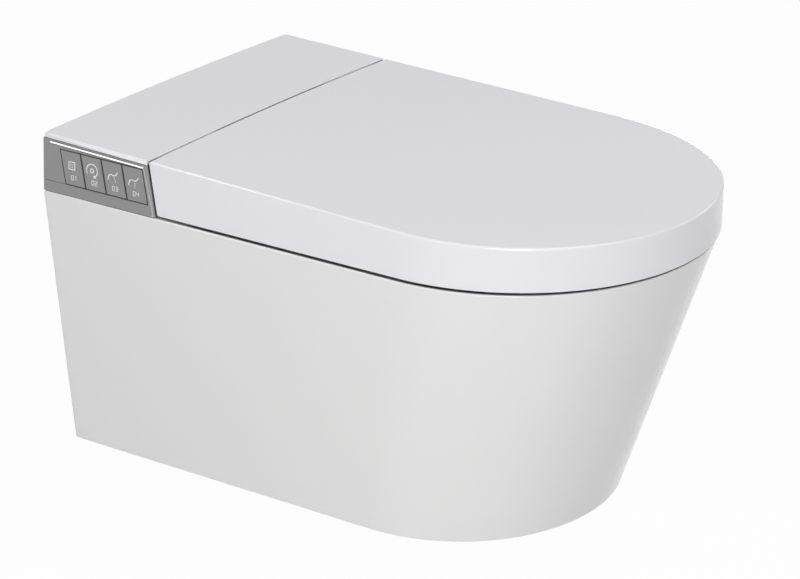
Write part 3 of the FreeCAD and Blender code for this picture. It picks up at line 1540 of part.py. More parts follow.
# ---------------------------------------------------------------- water and power

def make_block(name, left, right, rear, front, height, corner):
    """A closed unit standing on the chassis floor, its upright edges rounded."""
    body = new_body(name)
    outline = new_sketch(body, "XY_Plane", name + "_outline", FLOOR_TOP)
    draw_box(outline, left, right, f"(-{front})", f"(-{rear})")
    pad(body, outline, height)
    round_edges(body, corner, lambda middle, edge: is_upright(edge), name + "_round")
    return body


def make_water_heater():
    body = make_block("water_heater", "heater_left", "(heater_left + heater_width)",
                      "works_rear", "works_front", "heater_height", "heater_corner")
    pipes = new_sketch(body, "XY_Plane", "heater_pipes", f"({FLOOR_TOP} + heater_height - overcut)")
    for y in ("(-works_rear - works_rear)", "(-works_front + works_rear)"):
        draw_circle(pipes, "(heater_left + heater_width / 2)", y, "pipe_radius")
    pad(body, pipes, "6 + overcut")
    return body


def make_power_supply():
    return make_block("power_supply", "(-chassis_half + chassis_wall + supply_gap)",
                      "(-valve_x - board_width / 2 - supply_gap)", "works_rear",
                      "(bolt_y - bolt_head - supply_gap)", "supply_height", "cover_edge / 2")


def make_pump():
    """Round pump lying along Y on a cradle foot."""
    body = new_body("water_pump")
    centre = f"({FLOOR_TOP} + pump_radius + shelf_margin)"
    barrel = new_sketch(body, "XZ_Plane", "pump_barrel", "(works_front - pump_length)")
    draw_circle(barrel, "-valve_x", centre, "pump_radius")
    pad(body, barrel, "pump_length")
    foot = new_sketch(body, "XY_Plane", "pump_foot", FLOOR_TOP)
    draw_box(foot, "(-valve_x - pump_foot)", "(-valve_x + pump_foot)",
             "(-works_front + pump_radius / 2)", "(-works_front + pump_length - pump_radius / 2)")
    pad(body, foot, "pump_radius / 2 + shelf_margin")
    spout = new_sketch(body, "XZ_Plane", "pump_spout", "(works_front - pump_length - pipe_radius)")
    draw_circle(spout, "-valve_x", centre, "pipe_radius")
    pad(body, spout, "pipe_radius + overcut")
    return body


def make_valve():
    """Inlet valve body with its coil on top, behind the brass fitting."""
    body = new_body("inlet_valve")
    barrel = new_sketch(body, "XZ_Plane", "valve_barrel", "valve_start")
    draw_circle(barrel, "-valve_x", "port_height", "valve_radius")
    pad(body, barrel, "valve_length")
    foot = new_sketch(body, "XY_Plane", "valve_foot", FLOOR_TOP)
    draw_box(foot, "(-valve_x - coil_radius)", "(-valve_x + coil_radius)",
             "(-valve_start - valve_length + shelf_margin)", "(-valve_start - shelf_margin)")
    pad(body, foot, f"(port_height - {FLOOR_TOP})")
    coil = new_sketch(body, "XY_Plane", "valve_coil", "port_height")
    draw_circle(coil, "-valve_x", "(-valve_start - valve_length / 2)", "coil_radius")
    pad(body, coil, "coil_height")
    return body


def make_water_inlet():
    """Brass fitting with a hexagon and a plain round end for the supply."""
    body = new_body("water_inlet")
    bore = "(fitting_radius - fitting_wall)"
    spigot = new_sketch(body, "XZ_Plane", "inlet_spigot", "wall_gap")
    draw_circle(spigot, "-valve_x", "port_height", "fitting_radius")
    draw_circle(spigot, "-valve_x", "port_height", bore)
    pad(body, spigot, "fitting_length")
    flange = new_sketch(body, "XZ_Plane", "inlet_flange", "(wall_gap + fitting_length - fitting_flange)")
    draw_circle(flange, "-valve_x", "port_height", "fitting_radius + fitting_wall / 2")
    draw_circle(flange, "-valve_x", "port_height", bore)
    pad(body, flange, "fitting_flange")
    return body


def make_cord_gland():
    body = new_body("cord_gland")
    neck = new_sketch(body, "XZ_Plane", "gland_neck", "2 * part_gap")
    draw_circle(neck, "-gland_x", "port_height", "gland_radius")
    draw_circle(neck, "-gland_x", "port_height", "cord_radius")
    pad(body, neck, "gland_length")
    return body


def make_control_board():
    """Circuit board with a few large components."""
    body = new_body("control_board")
    outline = new_sketch(body, "XY_Plane", "board_outline", f"({FLOOR_TOP} + board_height)")
    draw_box(outline, "(-valve_x - board_width / 2)", "(-valve_x + board_width / 2)",
             "-board_front", "-board_start")
    pad(body, outline, "board_thick")
    chips = new_sketch(body, "XY_Plane", "board_chips", f"({FLOOR_TOP} + board_height + board_thick)")
    for x, y, wide, deep in ((-14, -30, 14, 14), (8, -52, 10, 18), (-10, -78, 20, 8)):
        left = f"(-valve_x + {x})"
        draw_box(chips, left, f"({left} + {wide})", str(y), str(y + deep))
    pad(body, chips, "2 * board_thick")
    return body


parts = [
    make_pan(), make_inlet_seal(), make_fixing_sleeves(), make_fixing_screws(),
    make_chassis(), make_chassis_bolts(), make_bolt_plugs(), make_top_cover(),
    make_side_panel("control_panel", -1), make_side_panel("side_panel", 1),
    make_light_bar(), make_key_board(), make_key_domes(),
    make_hinge_bracket(-1, "hinge_bracket_left"), make_hinge_bracket(1, "hinge_bracket_right"),
    make_hinge_pins(), make_damper(-1, "seat_damper"), make_damper(1, "lid_damper"),
    make_lid_shell(), make_lid_liner(), make_lid_bumpers(),
    make_seat_top(), make_seat_base(), make_seat_heater(), make_seat_bumpers(),
    make_wand("rear_wand", -1), make_wand("front_wand", 1),
    make_wand_tip("rear_wand_tip", -1), make_wand_tip("front_wand_tip", 1),
    make_wand_guide(), make_wand_motors(), make_wand_shroud(), make_air_duct(),
    make_blower_housing(), make_blower_rotor(), make_water_heater(), make_pump(),
    make_valve(), make_water_inlet(), make_power_supply(), make_control_board(), make_cord_gland(),
]
parts += [make_key(index, name) for index, name in enumerate(KEY_NAMES)]
doc.recompute()

for item in doc.Objects:
    if "Invalid" in item.State or "Error" in item.State:
        raise RuntimeError(f"{item.Label} failed: {item.State}")
for part in parts:
    if part.Shape.isNull() or not part.Shape.isValid():
        raise RuntimeError(f"{part.Label} has no valid shape")
for part in parts:
    print(part.Label, round(part.Shape.Volume), len(part.Shape.Solids))
    part.Shape.exportStep(f"parts/{part.Label}.step")
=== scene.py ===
import json
import math

import bmesh
import bpy
from mathutils import Matrix, Vector


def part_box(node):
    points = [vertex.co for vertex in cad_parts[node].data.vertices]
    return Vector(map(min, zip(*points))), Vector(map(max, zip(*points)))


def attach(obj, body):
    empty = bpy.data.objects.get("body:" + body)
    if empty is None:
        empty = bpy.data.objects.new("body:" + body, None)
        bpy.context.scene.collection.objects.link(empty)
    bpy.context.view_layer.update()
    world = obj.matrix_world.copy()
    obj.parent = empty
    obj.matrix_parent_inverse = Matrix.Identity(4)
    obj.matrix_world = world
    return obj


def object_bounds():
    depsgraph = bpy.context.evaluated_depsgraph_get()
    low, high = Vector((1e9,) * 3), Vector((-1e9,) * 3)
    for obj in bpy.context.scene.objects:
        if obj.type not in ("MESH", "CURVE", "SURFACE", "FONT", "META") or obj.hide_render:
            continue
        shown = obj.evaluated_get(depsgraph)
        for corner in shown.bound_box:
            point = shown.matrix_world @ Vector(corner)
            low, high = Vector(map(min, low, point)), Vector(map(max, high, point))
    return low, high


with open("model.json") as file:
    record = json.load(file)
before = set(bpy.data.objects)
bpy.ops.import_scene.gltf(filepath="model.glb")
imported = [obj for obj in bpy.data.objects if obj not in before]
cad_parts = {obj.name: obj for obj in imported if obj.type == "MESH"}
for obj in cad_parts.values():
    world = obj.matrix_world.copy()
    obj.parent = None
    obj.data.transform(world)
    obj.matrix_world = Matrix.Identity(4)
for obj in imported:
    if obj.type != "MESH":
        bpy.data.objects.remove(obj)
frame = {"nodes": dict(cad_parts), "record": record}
cad_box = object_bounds()

MM = 0.001
WHITE = (1.0, 1.0, 1.0, 1.0)


# ---------------------------------------------------------------- shader tools

# The middle range of a noise texture.
NOISE_LOW = 0.3
NOISE_HIGH = 0.7

# How far off a facing surface still paints shade into a gap: on the covers, and on what lies behind and
# below them.
GAP_REACH = 0.008
DEEP_GAP_REACH = 0.025

# Shares of open surroundings: the painted gap shade is darkest below the first and absent above the
# second.
GAP_SHUT = 0.3
GAP_OPEN = 0.62

# What is left of the colour where the painted gap shade is darkest.
GAP_FLOOR = 0.04
GAP_SAMPLES = 6


class Shader:
    """A material with one principled shader and short ways to add nodes to it."""

    def __init__(self, name, colour, roughness, **settings):
        self.material = bpy.data.materials.new(name)
        self.material.use_nodes = True
        self.tree = self.material.node_tree
        self.surface = self.tree.nodes["Principled BSDF"]
        self.set("Base Color", (*colour, 1.0))
        self.set("Roughness", roughness)
        for socket, value in settings.items():
            self.set(socket.replace("_", " "), value)
        self.place = self.add("ShaderNodeTexCoord").outputs["Object"]

    def set(self, socket, value):
        self.surface.inputs[socket].default_value = value

    def add(self, kind, **settings):
        node = self.tree.nodes.new(kind)
        for name, value in settings.items():
            setattr(node, name, value)
        return node

    def link(self, output, target):
        self.tree.links.new(output, target)

    def noise(self, per_metre, detail=3.0, stretch=None):
        """Noise with that many cells in a metre, stretched along an axis if asked."""
        node = self.add("ShaderNodeTexNoise")
        node.inputs["Scale"].default_value = per_metre
        node.inputs["Detail"].default_value = detail
        self.link(self.stretched(stretch), node.inputs["Vector"])
        return node.outputs["Fac"]

    def stretched(self, stretch):
        if stretch is None:
            return self.place
        node = self.add("ShaderNodeMapping")
        node.inputs["Scale"].default_value = stretch
        self.link(self.place, node.inputs["Vector"])
        return node.outputs["Vector"]

    def spread(self, source, low, high):
        """Maps a noise's middle range to low..high."""
        node = self.add("ShaderNodeMapRange")
        node.inputs["From Min"].default_value = NOISE_LOW
        node.inputs["From Max"].default_value = NOISE_HIGH
        node.inputs["To Min"].default_value = low
        node.inputs["To Max"].default_value = high
        self.link(source, node.inputs["Value"])
        return node.outputs["Result"]

    def vary_colour(self, source, first, second):
        node = self.add("ShaderNodeMix", data_type="RGBA")
        node.inputs["A"].default_value = (*first, 1.0)
        node.inputs["B"].default_value = (*second, 1.0)
        self.link(self.spread(source, 0.0, 1.0), node.inputs["Factor"])
        self.link(node.outputs["Result"], self.surface.inputs["Base Color"])

    def paint_gap_shade(self, reach):
        """Paints shade into the base colour in narrow gaps, within a reach in metres, by ambient
        occlusion.
        """
        paint = self.surface.inputs["Base Color"]
        source = paint.links[0].from_socket
        # Painted shade: ambient occlusion darkens the base colour where facing surfaces stand near.
        occlusion = self.add("ShaderNodeAmbientOcclusion", samples=GAP_SAMPLES)
        occlusion.inputs["Distance"].default_value = reach
        level = self.add("ShaderNodeMapRange")
        level.inputs["From Min"].default_value = GAP_SHUT
        level.inputs["From Max"].default_value = GAP_OPEN
        level.inputs["To Min"].default_value = GAP_FLOOR
        self.link(occlusion.outputs["AO"], level.inputs["Value"])
        mix = self.add("ShaderNodeMix", data_type="RGBA", blend_type="MULTIPLY")
        mix.inputs["Factor"].default_value = 1.0
        self.link(source, mix.inputs["A"])
        self.link(level.outputs["Result"], mix.inputs["B"])
        self.link(mix.outputs["Result"], paint)

    def vary_roughness(self, source, low, high):
        self.link(self.spread(source, low, high), self.surface.inputs["Roughness"])

    def bump(self, source, height):
        """Raises the surface by a height in metres where the source is white."""
        node = self.add("ShaderNodeBump")
        node.inputs["Strength"].default_value = 1.0
        node.inputs["Distance"].default_value = height
        self.link(source, node.inputs["Height"])
        self.link(node.outputs["Normal"], self.surface.inputs["Normal"])


def grey(level, warm=0.0):
    return (level + warm, level, level - warm)


# ---------------------------------------------------------------- materials

def glaze():
    """White vitreous glaze: a thin clear coat with a faint waviness."""
    shader = Shader("glazed_ceramic", grey(0.80), 0.16, Coat_Weight=0.15,
                    Coat_Roughness=0.05, Specular_IOR_Level=0.4)
    shader.vary_colour(shader.noise(9.0), grey(0.80), grey(0.81, 0.002))
    shader.vary_roughness(shader.noise(60.0), 0.13, 0.2)
    shader.bump(shader.noise(70.0, detail=1.0), 0.00004)
    shader.paint_gap_shade(DEEP_GAP_REACH)
    return shader.material


def gloss_plastic():
    """White moulded cover with a fine orange-peel gloss and a cool tint."""
    tint = (0.80, 0.79, 0.828)
    shader = Shader("white_gloss", tint, 0.2, Coat_Weight=0.35, Coat_Roughness=0.08)
    shader.vary_colour(shader.noise(7.0), tint, (0.805, 0.796, 0.832))
    shader.vary_roughness(shader.noise(250.0), 0.18, 0.26)
    shader.bump(shader.noise(320.0, detail=2.0), 0.000008)
    shader.paint_gap_shade(GAP_REACH)
    return shader.material


def moulding(name, colour):
    """Satin moulded plastic with a spark-eroded grain."""
    shader = Shader(name, colour, 0.45)
    darker = tuple(channel * 0.95 for channel in colour)
    shader.vary_colour(shader.noise(25.0), darker, colour)
    shader.vary_roughness(shader.noise(400.0), 0.38, 0.55)
    shader.bump(shader.noise(1800.0, detail=2.0), 0.00002)
    shader.paint_gap_shade(DEEP_GAP_REACH)
    return shader.material


def panel_paint():
    """Grey lacquer with a fine metallic fleck."""
    shader = Shader("grey_panel", grey(0.27), 0.34, Metallic=0.25, Coat_Weight=0.2, Coat_Roughness=0.15)
    shader.vary_colour(shader.noise(2600.0, detail=1.0), grey(0.25), grey(0.29))
    shader.vary_roughness(shader.noise(500.0), 0.3, 0.4)
    shader.bump(shader.noise(2200.0, detail=1.0), 0.000004)
    shader.paint_gap_shade(DEEP_GAP_REACH)
    return shader.material


def light_lens():
    """Lit opal strip."""
    shader = Shader("light_lens", grey(0.9), 0.3, Emission_Color=WHITE, Emission_Strength=0.32)
    shader.vary_roughness(shader.noise(300.0), 0.25, 0.35)
    return shader.material


def rubber(name, level):
    shader = Shader(name, grey(level), 0.7)
    shader.vary_colour(shader.noise(120.0), grey(level * 0.9), grey(level * 1.05))
    shader.vary_roughness(shader.noise(600.0), 0.6, 0.8)
    shader.bump(shader.noise(900.0, detail=2.0), 0.00003)
    return shader.material


def metal(name, colour, low, high, lines=None):
    """Bare or plated metal, its roughness drawn out along one axis if turned or brushed."""
    shader = Shader(name, colour, low, Metallic=1.0)
    darker = tuple(channel * 0.93 for channel in colour)
    shader.vary_colour(shader.noise(90.0), darker, colour)
    shader.vary_roughness(shader.noise(300.0, stretch=lines), low, high)
    shader.bump(shader.noise(900.0, detail=1.0, stretch=lines), 0.000006)
    return shader.material


def circuit_board():
    """Green solder mask with a lighter field of copper below it."""
    shader = Shader("circuit_board", (0.03, 0.17, 0.08), 0.35, Coat_Weight=0.4, Coat_Roughness=0.2)
    shader.vary_colour(shader.noise(420.0, detail=0.0), (0.02, 0.14, 0.06), (0.05, 0.24, 0.11))
    shader.vary_roughness(shader.noise(500.0), 0.3, 0.42)
    return shader.material


def sign_print():
    """White pad print, slightly uneven."""
    shader = Shader("sign_print", grey(0.82), 0.5)
    shader.vary_colour(shader.noise(900.0), grey(0.76), grey(0.86))
    shader.vary_roughness(shader.noise(1200.0), 0.45, 0.6)
    return shader.material


def band_highlight_paint():
    """Painted highlight: a brighter white on the cover's side band, where light catches that side."""
    shader = Shader("band_highlight_paint", grey(0.97), 0.2, Coat_Weight=0.3, Coat_Roughness=0.05)
    shader.vary_colour(shader.noise(40.0), grey(0.96), grey(0.98))
    shader.vary_roughness(shader.noise(250.0), 0.18, 0.26)
    return shader.material


def trim_and_edge_highlight():
    """Lighter satin lacquer on the panel's edge: partly the panel's metal edge, partly a painted
    highlight on its rounding.
    """
    shader = Shader("trim_and_edge_highlight", grey(0.5), 0.3, Metallic=0.2, Coat_Weight=0.3, Coat_Roughness=0.1)
    shader.vary_colour(shader.noise(1500.0), grey(0.46), grey(0.54))
    shader.vary_roughness(shader.noise(700.0), 0.25, 0.36)
    return shader.material


MATERIALS = {
    "glazed_ceramic": glaze(),
    "white_gloss": gloss_plastic(),
    "white_moulding": moulding("white_moulding", grey(0.78)),
    "grey_moulding": moulding("grey_moulding", grey(0.36)),
    "grey_panel": panel_paint(),
    "light_lens": light_lens(),
    "grey_rubber": rubber("grey_rubber", 0.5),
    "black_rubber": rubber("black_rubber", 0.03),
    "zinc_steel": metal("zinc_steel", (0.6, 0.61, 0.63), 0.28, 0.42),
    "polished_metal": metal("polished_metal", (0.78, 0.79, 0.8), 0.06, 0.14, lines=(1.0, 0.1, 1.0)),
    "brass_fitting": metal("brass_fitting", (0.72, 0.53, 0.24), 0.22, 0.34),
    "circuit_board": circuit_board(),
    "heater_foil": metal("heater_foil", (0.72, 0.72, 0.74), 0.25, 0.45),
    "sign_print": sign_print(),
    "band_highlight_paint": band_highlight_paint(),
    "trim_and_edge_highlight": trim_and_edge_highlight(),
}


def dress_nodes():
    """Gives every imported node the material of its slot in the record."""
    for part in frame["record"]["subparts"]:
        node = frame["nodes"][part["node"]]
        node.data.materials.clear()
        node.data.materials.append(MATERIALS[part["material_slot"]])


# ---------------------------------------------------------------- solids from rings

def wall(mesh, near, far):
    """Faces between two rings of as many vertices."""
    for index in range(len(near)):
        after = (index + 1) % len(near)
        mesh.faces.new((near[index], near[after], far[after], far[index]))


def closed_solid(mesh, rings):
    """Walls from ring to ring and a cap at each end."""
    for near, far in zip(rings, rings[1:]):
        wall(mesh, near, far)
    mesh.faces.new(rings[-1])
    mesh.faces.new(reversed(rings[0]))


def finish_piece(name, mesh, look, body):
    """Turns a mesh under construction into a piece that rides on a body."""
    bmesh.ops.recalc_face_normals(mesh, faces=mesh.faces)
    data = bpy.data.meshes.new(name)
    mesh.to_mesh(data)
    mesh.free()
    data.materials.append(MATERIALS[look])
    piece = bpy.data.objects.new(name, data)
    bpy.context.scene.collection.objects.link(piece)
    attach(piece, body)


# ---------------------------------------------------------------- strokes on the key panel

# A flat point on the panel's side is in millimetres, towards the front and up. A lift is in millimetres
# off the face. surface(ahead, up, lift) turns them into a place in the frame.

# A face looks to the panel's side where its normal's x is below this.
SIDEWARD = -0.9

# How far off a flat face a vertex may lie and still be part of it, in metres.
FACE_REACH = 0.00002

# The smallest share of a stroke's width that a sharp corner is reckoned with.
SHARPEST_CORNER = 0.4

DOT_SIDES = 12
CURVE_STEPS = 6


def direction(start, end):
    return (Vector(end) - Vector(start)).normalized()


def stroke(mesh, points, width, surface, height, closed=False):
    """Adds a raised ribbon of even width along flat points."""
    count = len(points)
    rings = []
    for index, point in enumerate(points):
        before = points[index - 1] if closed or index else None
        after = points[(index + 1) % count] if closed or index < count - 1 else None
        arriving = direction(before, point) if before else direction(point, after)
        leaving = direction(point, after) if after else arriving
        across = Vector((-(arriving.y + leaving.y), arriving.x + leaving.x)).normalized()
        reach = width / 2 / max(SHARPEST_CORNER, across.dot(Vector((-leaving.y, leaving.x))))
        left = Vector(point) + across * reach
        right = Vector(point) - across * reach
        rings.append([mesh.verts.new(surface(*side, lift))
                      for side, lift in ((left, 0.0), (left, height), (right, height), (right, 0.0))])
    if closed:
        for near, far in zip(rings, rings[1:] + rings[:1]):
            wall(mesh, near, far)
    else:
        closed_solid(mesh, rings)


def arc(centre, radius, start, end, steps):
    """Points on an arc, its angles in degrees from the first axis."""
    angles = [math.radians(start + (end - start) * step / steps) for step in range(steps + 1)]
    return [(centre[0] + radius * math.cos(angle), centre[1] + radius * math.sin(angle))
            for angle in angles]


def disc(mesh, centre, radius, surface, height):
    """Adds a raised round dot."""
    edge = arc(centre, radius, 0, 360, DOT_SIDES)[:-1]
    closed_solid(mesh, [[mesh.verts.new(surface(*point, lift)) for point in edge]
                        for lift in (0.0, height)])


def smooth_line(points):
    """A Catmull-Rom line through the points."""
    ends = [points[0], *points, points[-1]]
    line = []
    for a, b, c, d in zip(ends, ends[1:], ends[2:], ends[3:]):
        a, b, c, d = (Vector(point) for point in (a, b, c, d))
        for step in range(CURVE_STEPS):
            t = step / CURVE_STEPS
            line.append(tuple(0.5 * (2 * b + (c - a) * t + (2 * a - 5 * b + 4 * c - d) * t ** 2
                                     + (3 * b - 3 * c + d - a) * t ** 3)))
    return line + [tuple(points[-1])]


def outer_face(node):
    """Largest flat face of a node that looks to the panel's side."""
    sides = [face for face in frame["nodes"][node].data.polygons if face.normal.x < SIDEWARD]
    return max(sides, key=lambda face: face.area)


def panel_surface(node, centre_y, centre_z):
    """The surface function of a node's outer face, with flat points counted from a centre."""
    face = outer_face(node)
    normal, centre = face.normal, face.center

    def place(ahead, up, lift):
        y = centre_y - ahead * MM
        z = centre_z + up * MM
        x = centre.x - (normal.y * (y - centre.y) + normal.z * (z - centre.z)) / normal.x
        return (x - lift * MM, y, z)

    return place


# ---------------------------------------------------------------- key signs

SIGN_HEIGHT = 0.06

# The stop sign's two squares: half a side and the stroke's width.
STOP_CENTRE = (-1.2, 2.9)
STOP_SQUARES = ((3.5, 0.95), (1.4, 0.4))

# The flush sign's turning arrow, with a small ring in its middle. Angles are in degrees.
FLUSH_CENTRE = (-1.6, 2.9)
FLUSH_RADIUS = 6.4
FLUSH_START = 212
FLUSH_END = -52
FLUSH_RING_RADIUS = 1.9
ARROW_TIP = -76
ARROW_OUTER_RADIUS = 8.2
ARROW_INNER_RADIUS = 4.6

# The wash signs' seat in profile, with dots of spray that fall from it.
WASH_CENTRE = (-1.0, 2.7)
SEAT_LINE = [(-6.0, -4.4), (-5.7, -1.8), (-4.7, 0.4), (-2.6, 1.4),
             (-0.2, 1.0), (2.0, 1.1), (3.7, 2.4), (5.2, 4.8)]
SPRAY_START = (1.2, -0.9)
SPRAY_DROP = 1.15
SPRAY_DOTS = 5
SPRAY_RADIUS = 0.45

# Captions: digits drawn on a grid two wide and four high, narrowed or widened and set side by side.
DIGITS = {
    0: [[(-1, -2), (-1, 2), (1, 2), (1, -2), (-1, -2)]],
    1: [[(-0.6, 1.4), (0.2, 2), (0.2, -2)]],
    2: [[(-1, 2), (1, 2), (1, 0), (-1, 0), (-1, -2), (1, -2)]],
    3: [[(-1, 2), (1, 2), (1, -2), (-1, -2)], [(-0.8, 0), (1, 0)]],
    4: [[(-1, 2), (-1, 0), (1, 0)], [(1, 2), (1, -2)]],
}
DIGIT_WIDTH = 1.2
DIGIT_PITCH = 3.9
DIGIT_STROKE = 0.6
CAPTION_START = -0.6
CAPTION_UP = -8.6


def stop_sign(mesh, surface, height):
    ahead, up = STOP_CENTRE
    for half, width in STOP_SQUARES:
        corners = [(ahead - half, up - half), (ahead + half, up - half),
                   (ahead + half, up + half), (ahead - half, up + half)]
        stroke(mesh, corners, width, surface, height, closed=True)


def flush_sign(mesh, surface, height):
    stroke(mesh, arc(FLUSH_CENTRE, FLUSH_RADIUS, FLUSH_START, FLUSH_END, 30), 1.05, surface, height)
    stroke(mesh, arc(FLUSH_CENTRE, FLUSH_RING_RADIUS, 0, 340, 17), 1.1, surface, height, closed=True)
    tip, root = arc(FLUSH_CENTRE, FLUSH_RADIUS, ARROW_TIP, FLUSH_END, 1)
    outer = arc(FLUSH_CENTRE, ARROW_OUTER_RADIUS, FLUSH_END, FLUSH_END, 1)[0]
    inner = arc(FLUSH_CENTRE, ARROW_INNER_RADIUS, FLUSH_END, FLUSH_END, 1)[0]
    stroke(mesh, [tip, inner, outer], 0.5, surface, height, closed=True)
    disc(mesh, tuple(Vector(tip) * 0.4 + Vector(root) * 0.6), 0.9, surface, height)


def wash_sign(mesh, surface, height, slant):
    ahead, up = WASH_CENTRE
    line = [(ahead + point[0], up + point[1]) for point in SEAT_LINE]
    stroke(mesh, smooth_line(line), 1.0, surface, height)
    for step in range(SPRAY_DOTS):
        dot = (SPRAY_START[0] + slant * step, SPRAY_START[1] - SPRAY_DROP * step)
        disc(mesh, (ahead + dot[0], up + dot[1]), SPRAY_RADIUS, surface, height)


def caption(mesh, surface, height, number):
    """Two plain digits under a key's sign."""
    for place, digit in enumerate((0, number)):
        for line in DIGITS[digit]:
            points = [(CAPTION_START + DIGIT_PITCH * place + DIGIT_WIDTH * ahead, CAPTION_UP + up)
                      for ahead, up in line]
            closed = points[0] == points[-1]
            stroke(mesh, points[:-1] if closed else points, DIGIT_STROKE, surface, height, closed)


# Keys from the first number on.
SIGNS = {
    "stop_key": stop_sign,
    "flush_key": flush_sign,
    "rear_wash_key": lambda mesh, surface, height: wash_sign(mesh, surface, height, slant=0.5),
    "front_wash_key": lambda mesh, surface, height: wash_sign(mesh, surface, height, slant=0.0),
}


# ---------------------------------------------------------------- rims, painted shade lines, trim with painted highlight, and painted highlight band

RIM_WIDTH = 0.7
RIM_HEIGHT = 0.04

# How far a rim's outer edge stays inside the key face's edge.
RIM_MARGIN = 0.02

# Painted shade beside the light's groove, as dark lines: the groove's low or high edge, the way off it,
# the width.
LOW_EDGE = 0
HIGH_EDGE = 1
GROOVE_LINES = ((HIGH_EDGE, 0.5, 0.5), (LOW_EDGE, -0.42, 0.35))
GROOVE_LINE_HEIGHT = 0.03

# The trim inside the panel's slanted edge, partly metal edge and partly painted highlight: a short hook
# at its foot and a straight run to its head.
TRIM_INSET = 2.2
TRIM_FOOT_RISE = 1.2
TRIM_HEAD_DROP = 0.4
TRIM_HOOK = ((-2.4, 0.0), (-0.5, 0.2), (0.0, 0.9))
TRIM_WIDTH = 1.3
TRIM_HEIGHT = 0.05

# The painted highlight band on the cover's side, in metres, and how far off that side its corners are
# looked for.
BAND_HEIGHT = 0.00004
SIDE_REACH = 0.00004


def key_outline(key, middle, surface):
    """A key face's four corners, as flat points from its middle, drawn in by half a rim."""
    face = []
    for vertex in frame["nodes"][key].data.vertices:
        ahead, up = (middle.y - vertex.co.y) / MM, (vertex.co.z - middle.z) / MM
        if abs(vertex.co.x - surface(ahead, up, 0.0)[0]) < FACE_REACH:
            face.append((ahead, up))
    inset = RIM_WIDTH / 2 + RIM_MARGIN
    bottom = min(up for ahead, up in face)
    top = max(up for ahead, up in face)
    lower = [ahead for ahead, up in face if up < bottom + inset]
    upper = [ahead for ahead, up in face if up > top - inset]
    return [(min(lower) + inset, bottom + inset), (max(lower) - inset, bottom + inset),
            (max(upper) - inset, top - inset), (min(upper) + inset, top - inset)]


def mark_keys():
    """White sign and number and a dark rim on every key, moving with it."""
    for number, (key, draw_sign) in enumerate(SIGNS.items(), 1):
        low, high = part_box(key)
        middle = (low + high) / 2
        surface = panel_surface(key, middle.y, middle.z)
        signs = bmesh.new()
        draw_sign(signs, surface, SIGN_HEIGHT)
        caption(signs, surface, SIGN_HEIGHT, number)
        finish_piece(key + "_sign", signs, "sign_print", key)
        rim = bmesh.new()
        stroke(rim, key_outline(key, middle, surface), RIM_WIDTH, surface, RIM_HEIGHT, closed=True)
        finish_piece(key + "_rim", rim, "black_rubber", key)


def flat_point(vertex):
    """A vertex as a flat point counted from the frame's origin."""
    return -vertex.co.y / MM, vertex.co.z / MM


def flat_ends(node):
    """Rear and front ends of a node's outer faces, each from low to high, as flat points."""
    mesh = frame["nodes"][node].data
    corners = sorted({flat_point(mesh.vertices[index])
                      for face in mesh.polygons if face.normal.x < SIDEWARD
                      for index in face.vertices})
    return [sorted(end, key=lambda point: point[1]) for end in (corners[:2], corners[-2:])]


def line_panel():
    """Painted shade as dark lines beside the light's groove, and a bright trim on the panel's slanted
    edge that is partly its metal edge and partly a painted highlight.
    """
    surface = panel_surface("control_panel", 0.0, 0.0)
    rear, front = flat_ends("light_bar")
    lines = bmesh.new()
    for edge, offset, width in GROOVE_LINES:
        ends = [(end[edge][0], end[edge][1] + offset) for end in (rear, front)]
        # Painted shade: dark strips where the groove's edges fall into shade.
        stroke(lines, ends, width, surface, GROOVE_LINE_HEIGHT)
    finish_piece("light_groove_painted_shade", lines, "black_rubber", "root")
    outline = [flat_point(vertex) for vertex in frame["nodes"]["control_panel"].data.vertices]
    foremost = max(outline)
    highest = max((up, ahead) for ahead, up in outline if ahead > front[0][0])
    foot = (foremost[0] - TRIM_INSET, foremost[1] + TRIM_FOOT_RISE)
    head = (highest[1] - TRIM_INSET, highest[0] - TRIM_HEAD_DROP)
    hook = [(foot[0] + ahead, foot[1] + up) for ahead, up in TRIM_HOOK]
    # Partly painted highlight: a lighter strip along the rounding of the panel's edge.
    trim = bmesh.new()
    stroke(trim, [*hook, head], TRIM_WIDTH, surface, TRIM_HEIGHT)
    finish_piece("panel_trim_and_edge_highlight", trim, "trim_and_edge_highlight", "root")


def paint_band_highlight():
    """A painted highlight band on the cover's side, above the panel, which narrows to the front."""
    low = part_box("top_cover")[0]
    side = {(vertex.co.y, vertex.co.z) for vertex in frame["nodes"]["top_cover"].data.vertices
            if vertex.co.x < low.x + SIDE_REACH}
    ends = []
    for y in (low.y, max(y for y, z in side)):
        levels = [z for place, z in side if abs(place - y) < FACE_REACH]
        ends.append((y, min(levels), max(levels)))
    (front, front_low, front_high), (rear, rear_low, rear_high) = ends
    corners = [(front, front_low), (front, front_high), (rear, rear_high), (rear, rear_low)]
    # Painted highlight: a thin brighter sheet laid over the cover's side.
    band = bmesh.new()
    closed_solid(band, [[band.verts.new((x, *corner)) for corner in corners]
                        for x in (low.x, low.x - BAND_HEIGHT)])
    finish_piece("cover_side_band_highlight", band, "band_highlight_paint", "root")


# ---------------------------------------------------------------- screws under the seat and lid

SCREWED_SHELLS = (
    ("seat", "seat_base", "seat_bumpers"),
    ("lid", "lid_liner", "lid_bumpers"),
)
SCREW_RADIUS = 0.0032
SCREW_HEIGHT = 0.0011
SCREW_SIDES = 32

# How far a screw stands from the middle of its bumper.
SCREW_OFFSET = 0.024

# How much flat shell a screw needs around its middle, in the head's radii.
SCREW_MARGIN = 1.5

# The cross recess, in the head's radii.
CROSS_ARM = 0.62
CROSS_HALF_WIDTH = 0.16

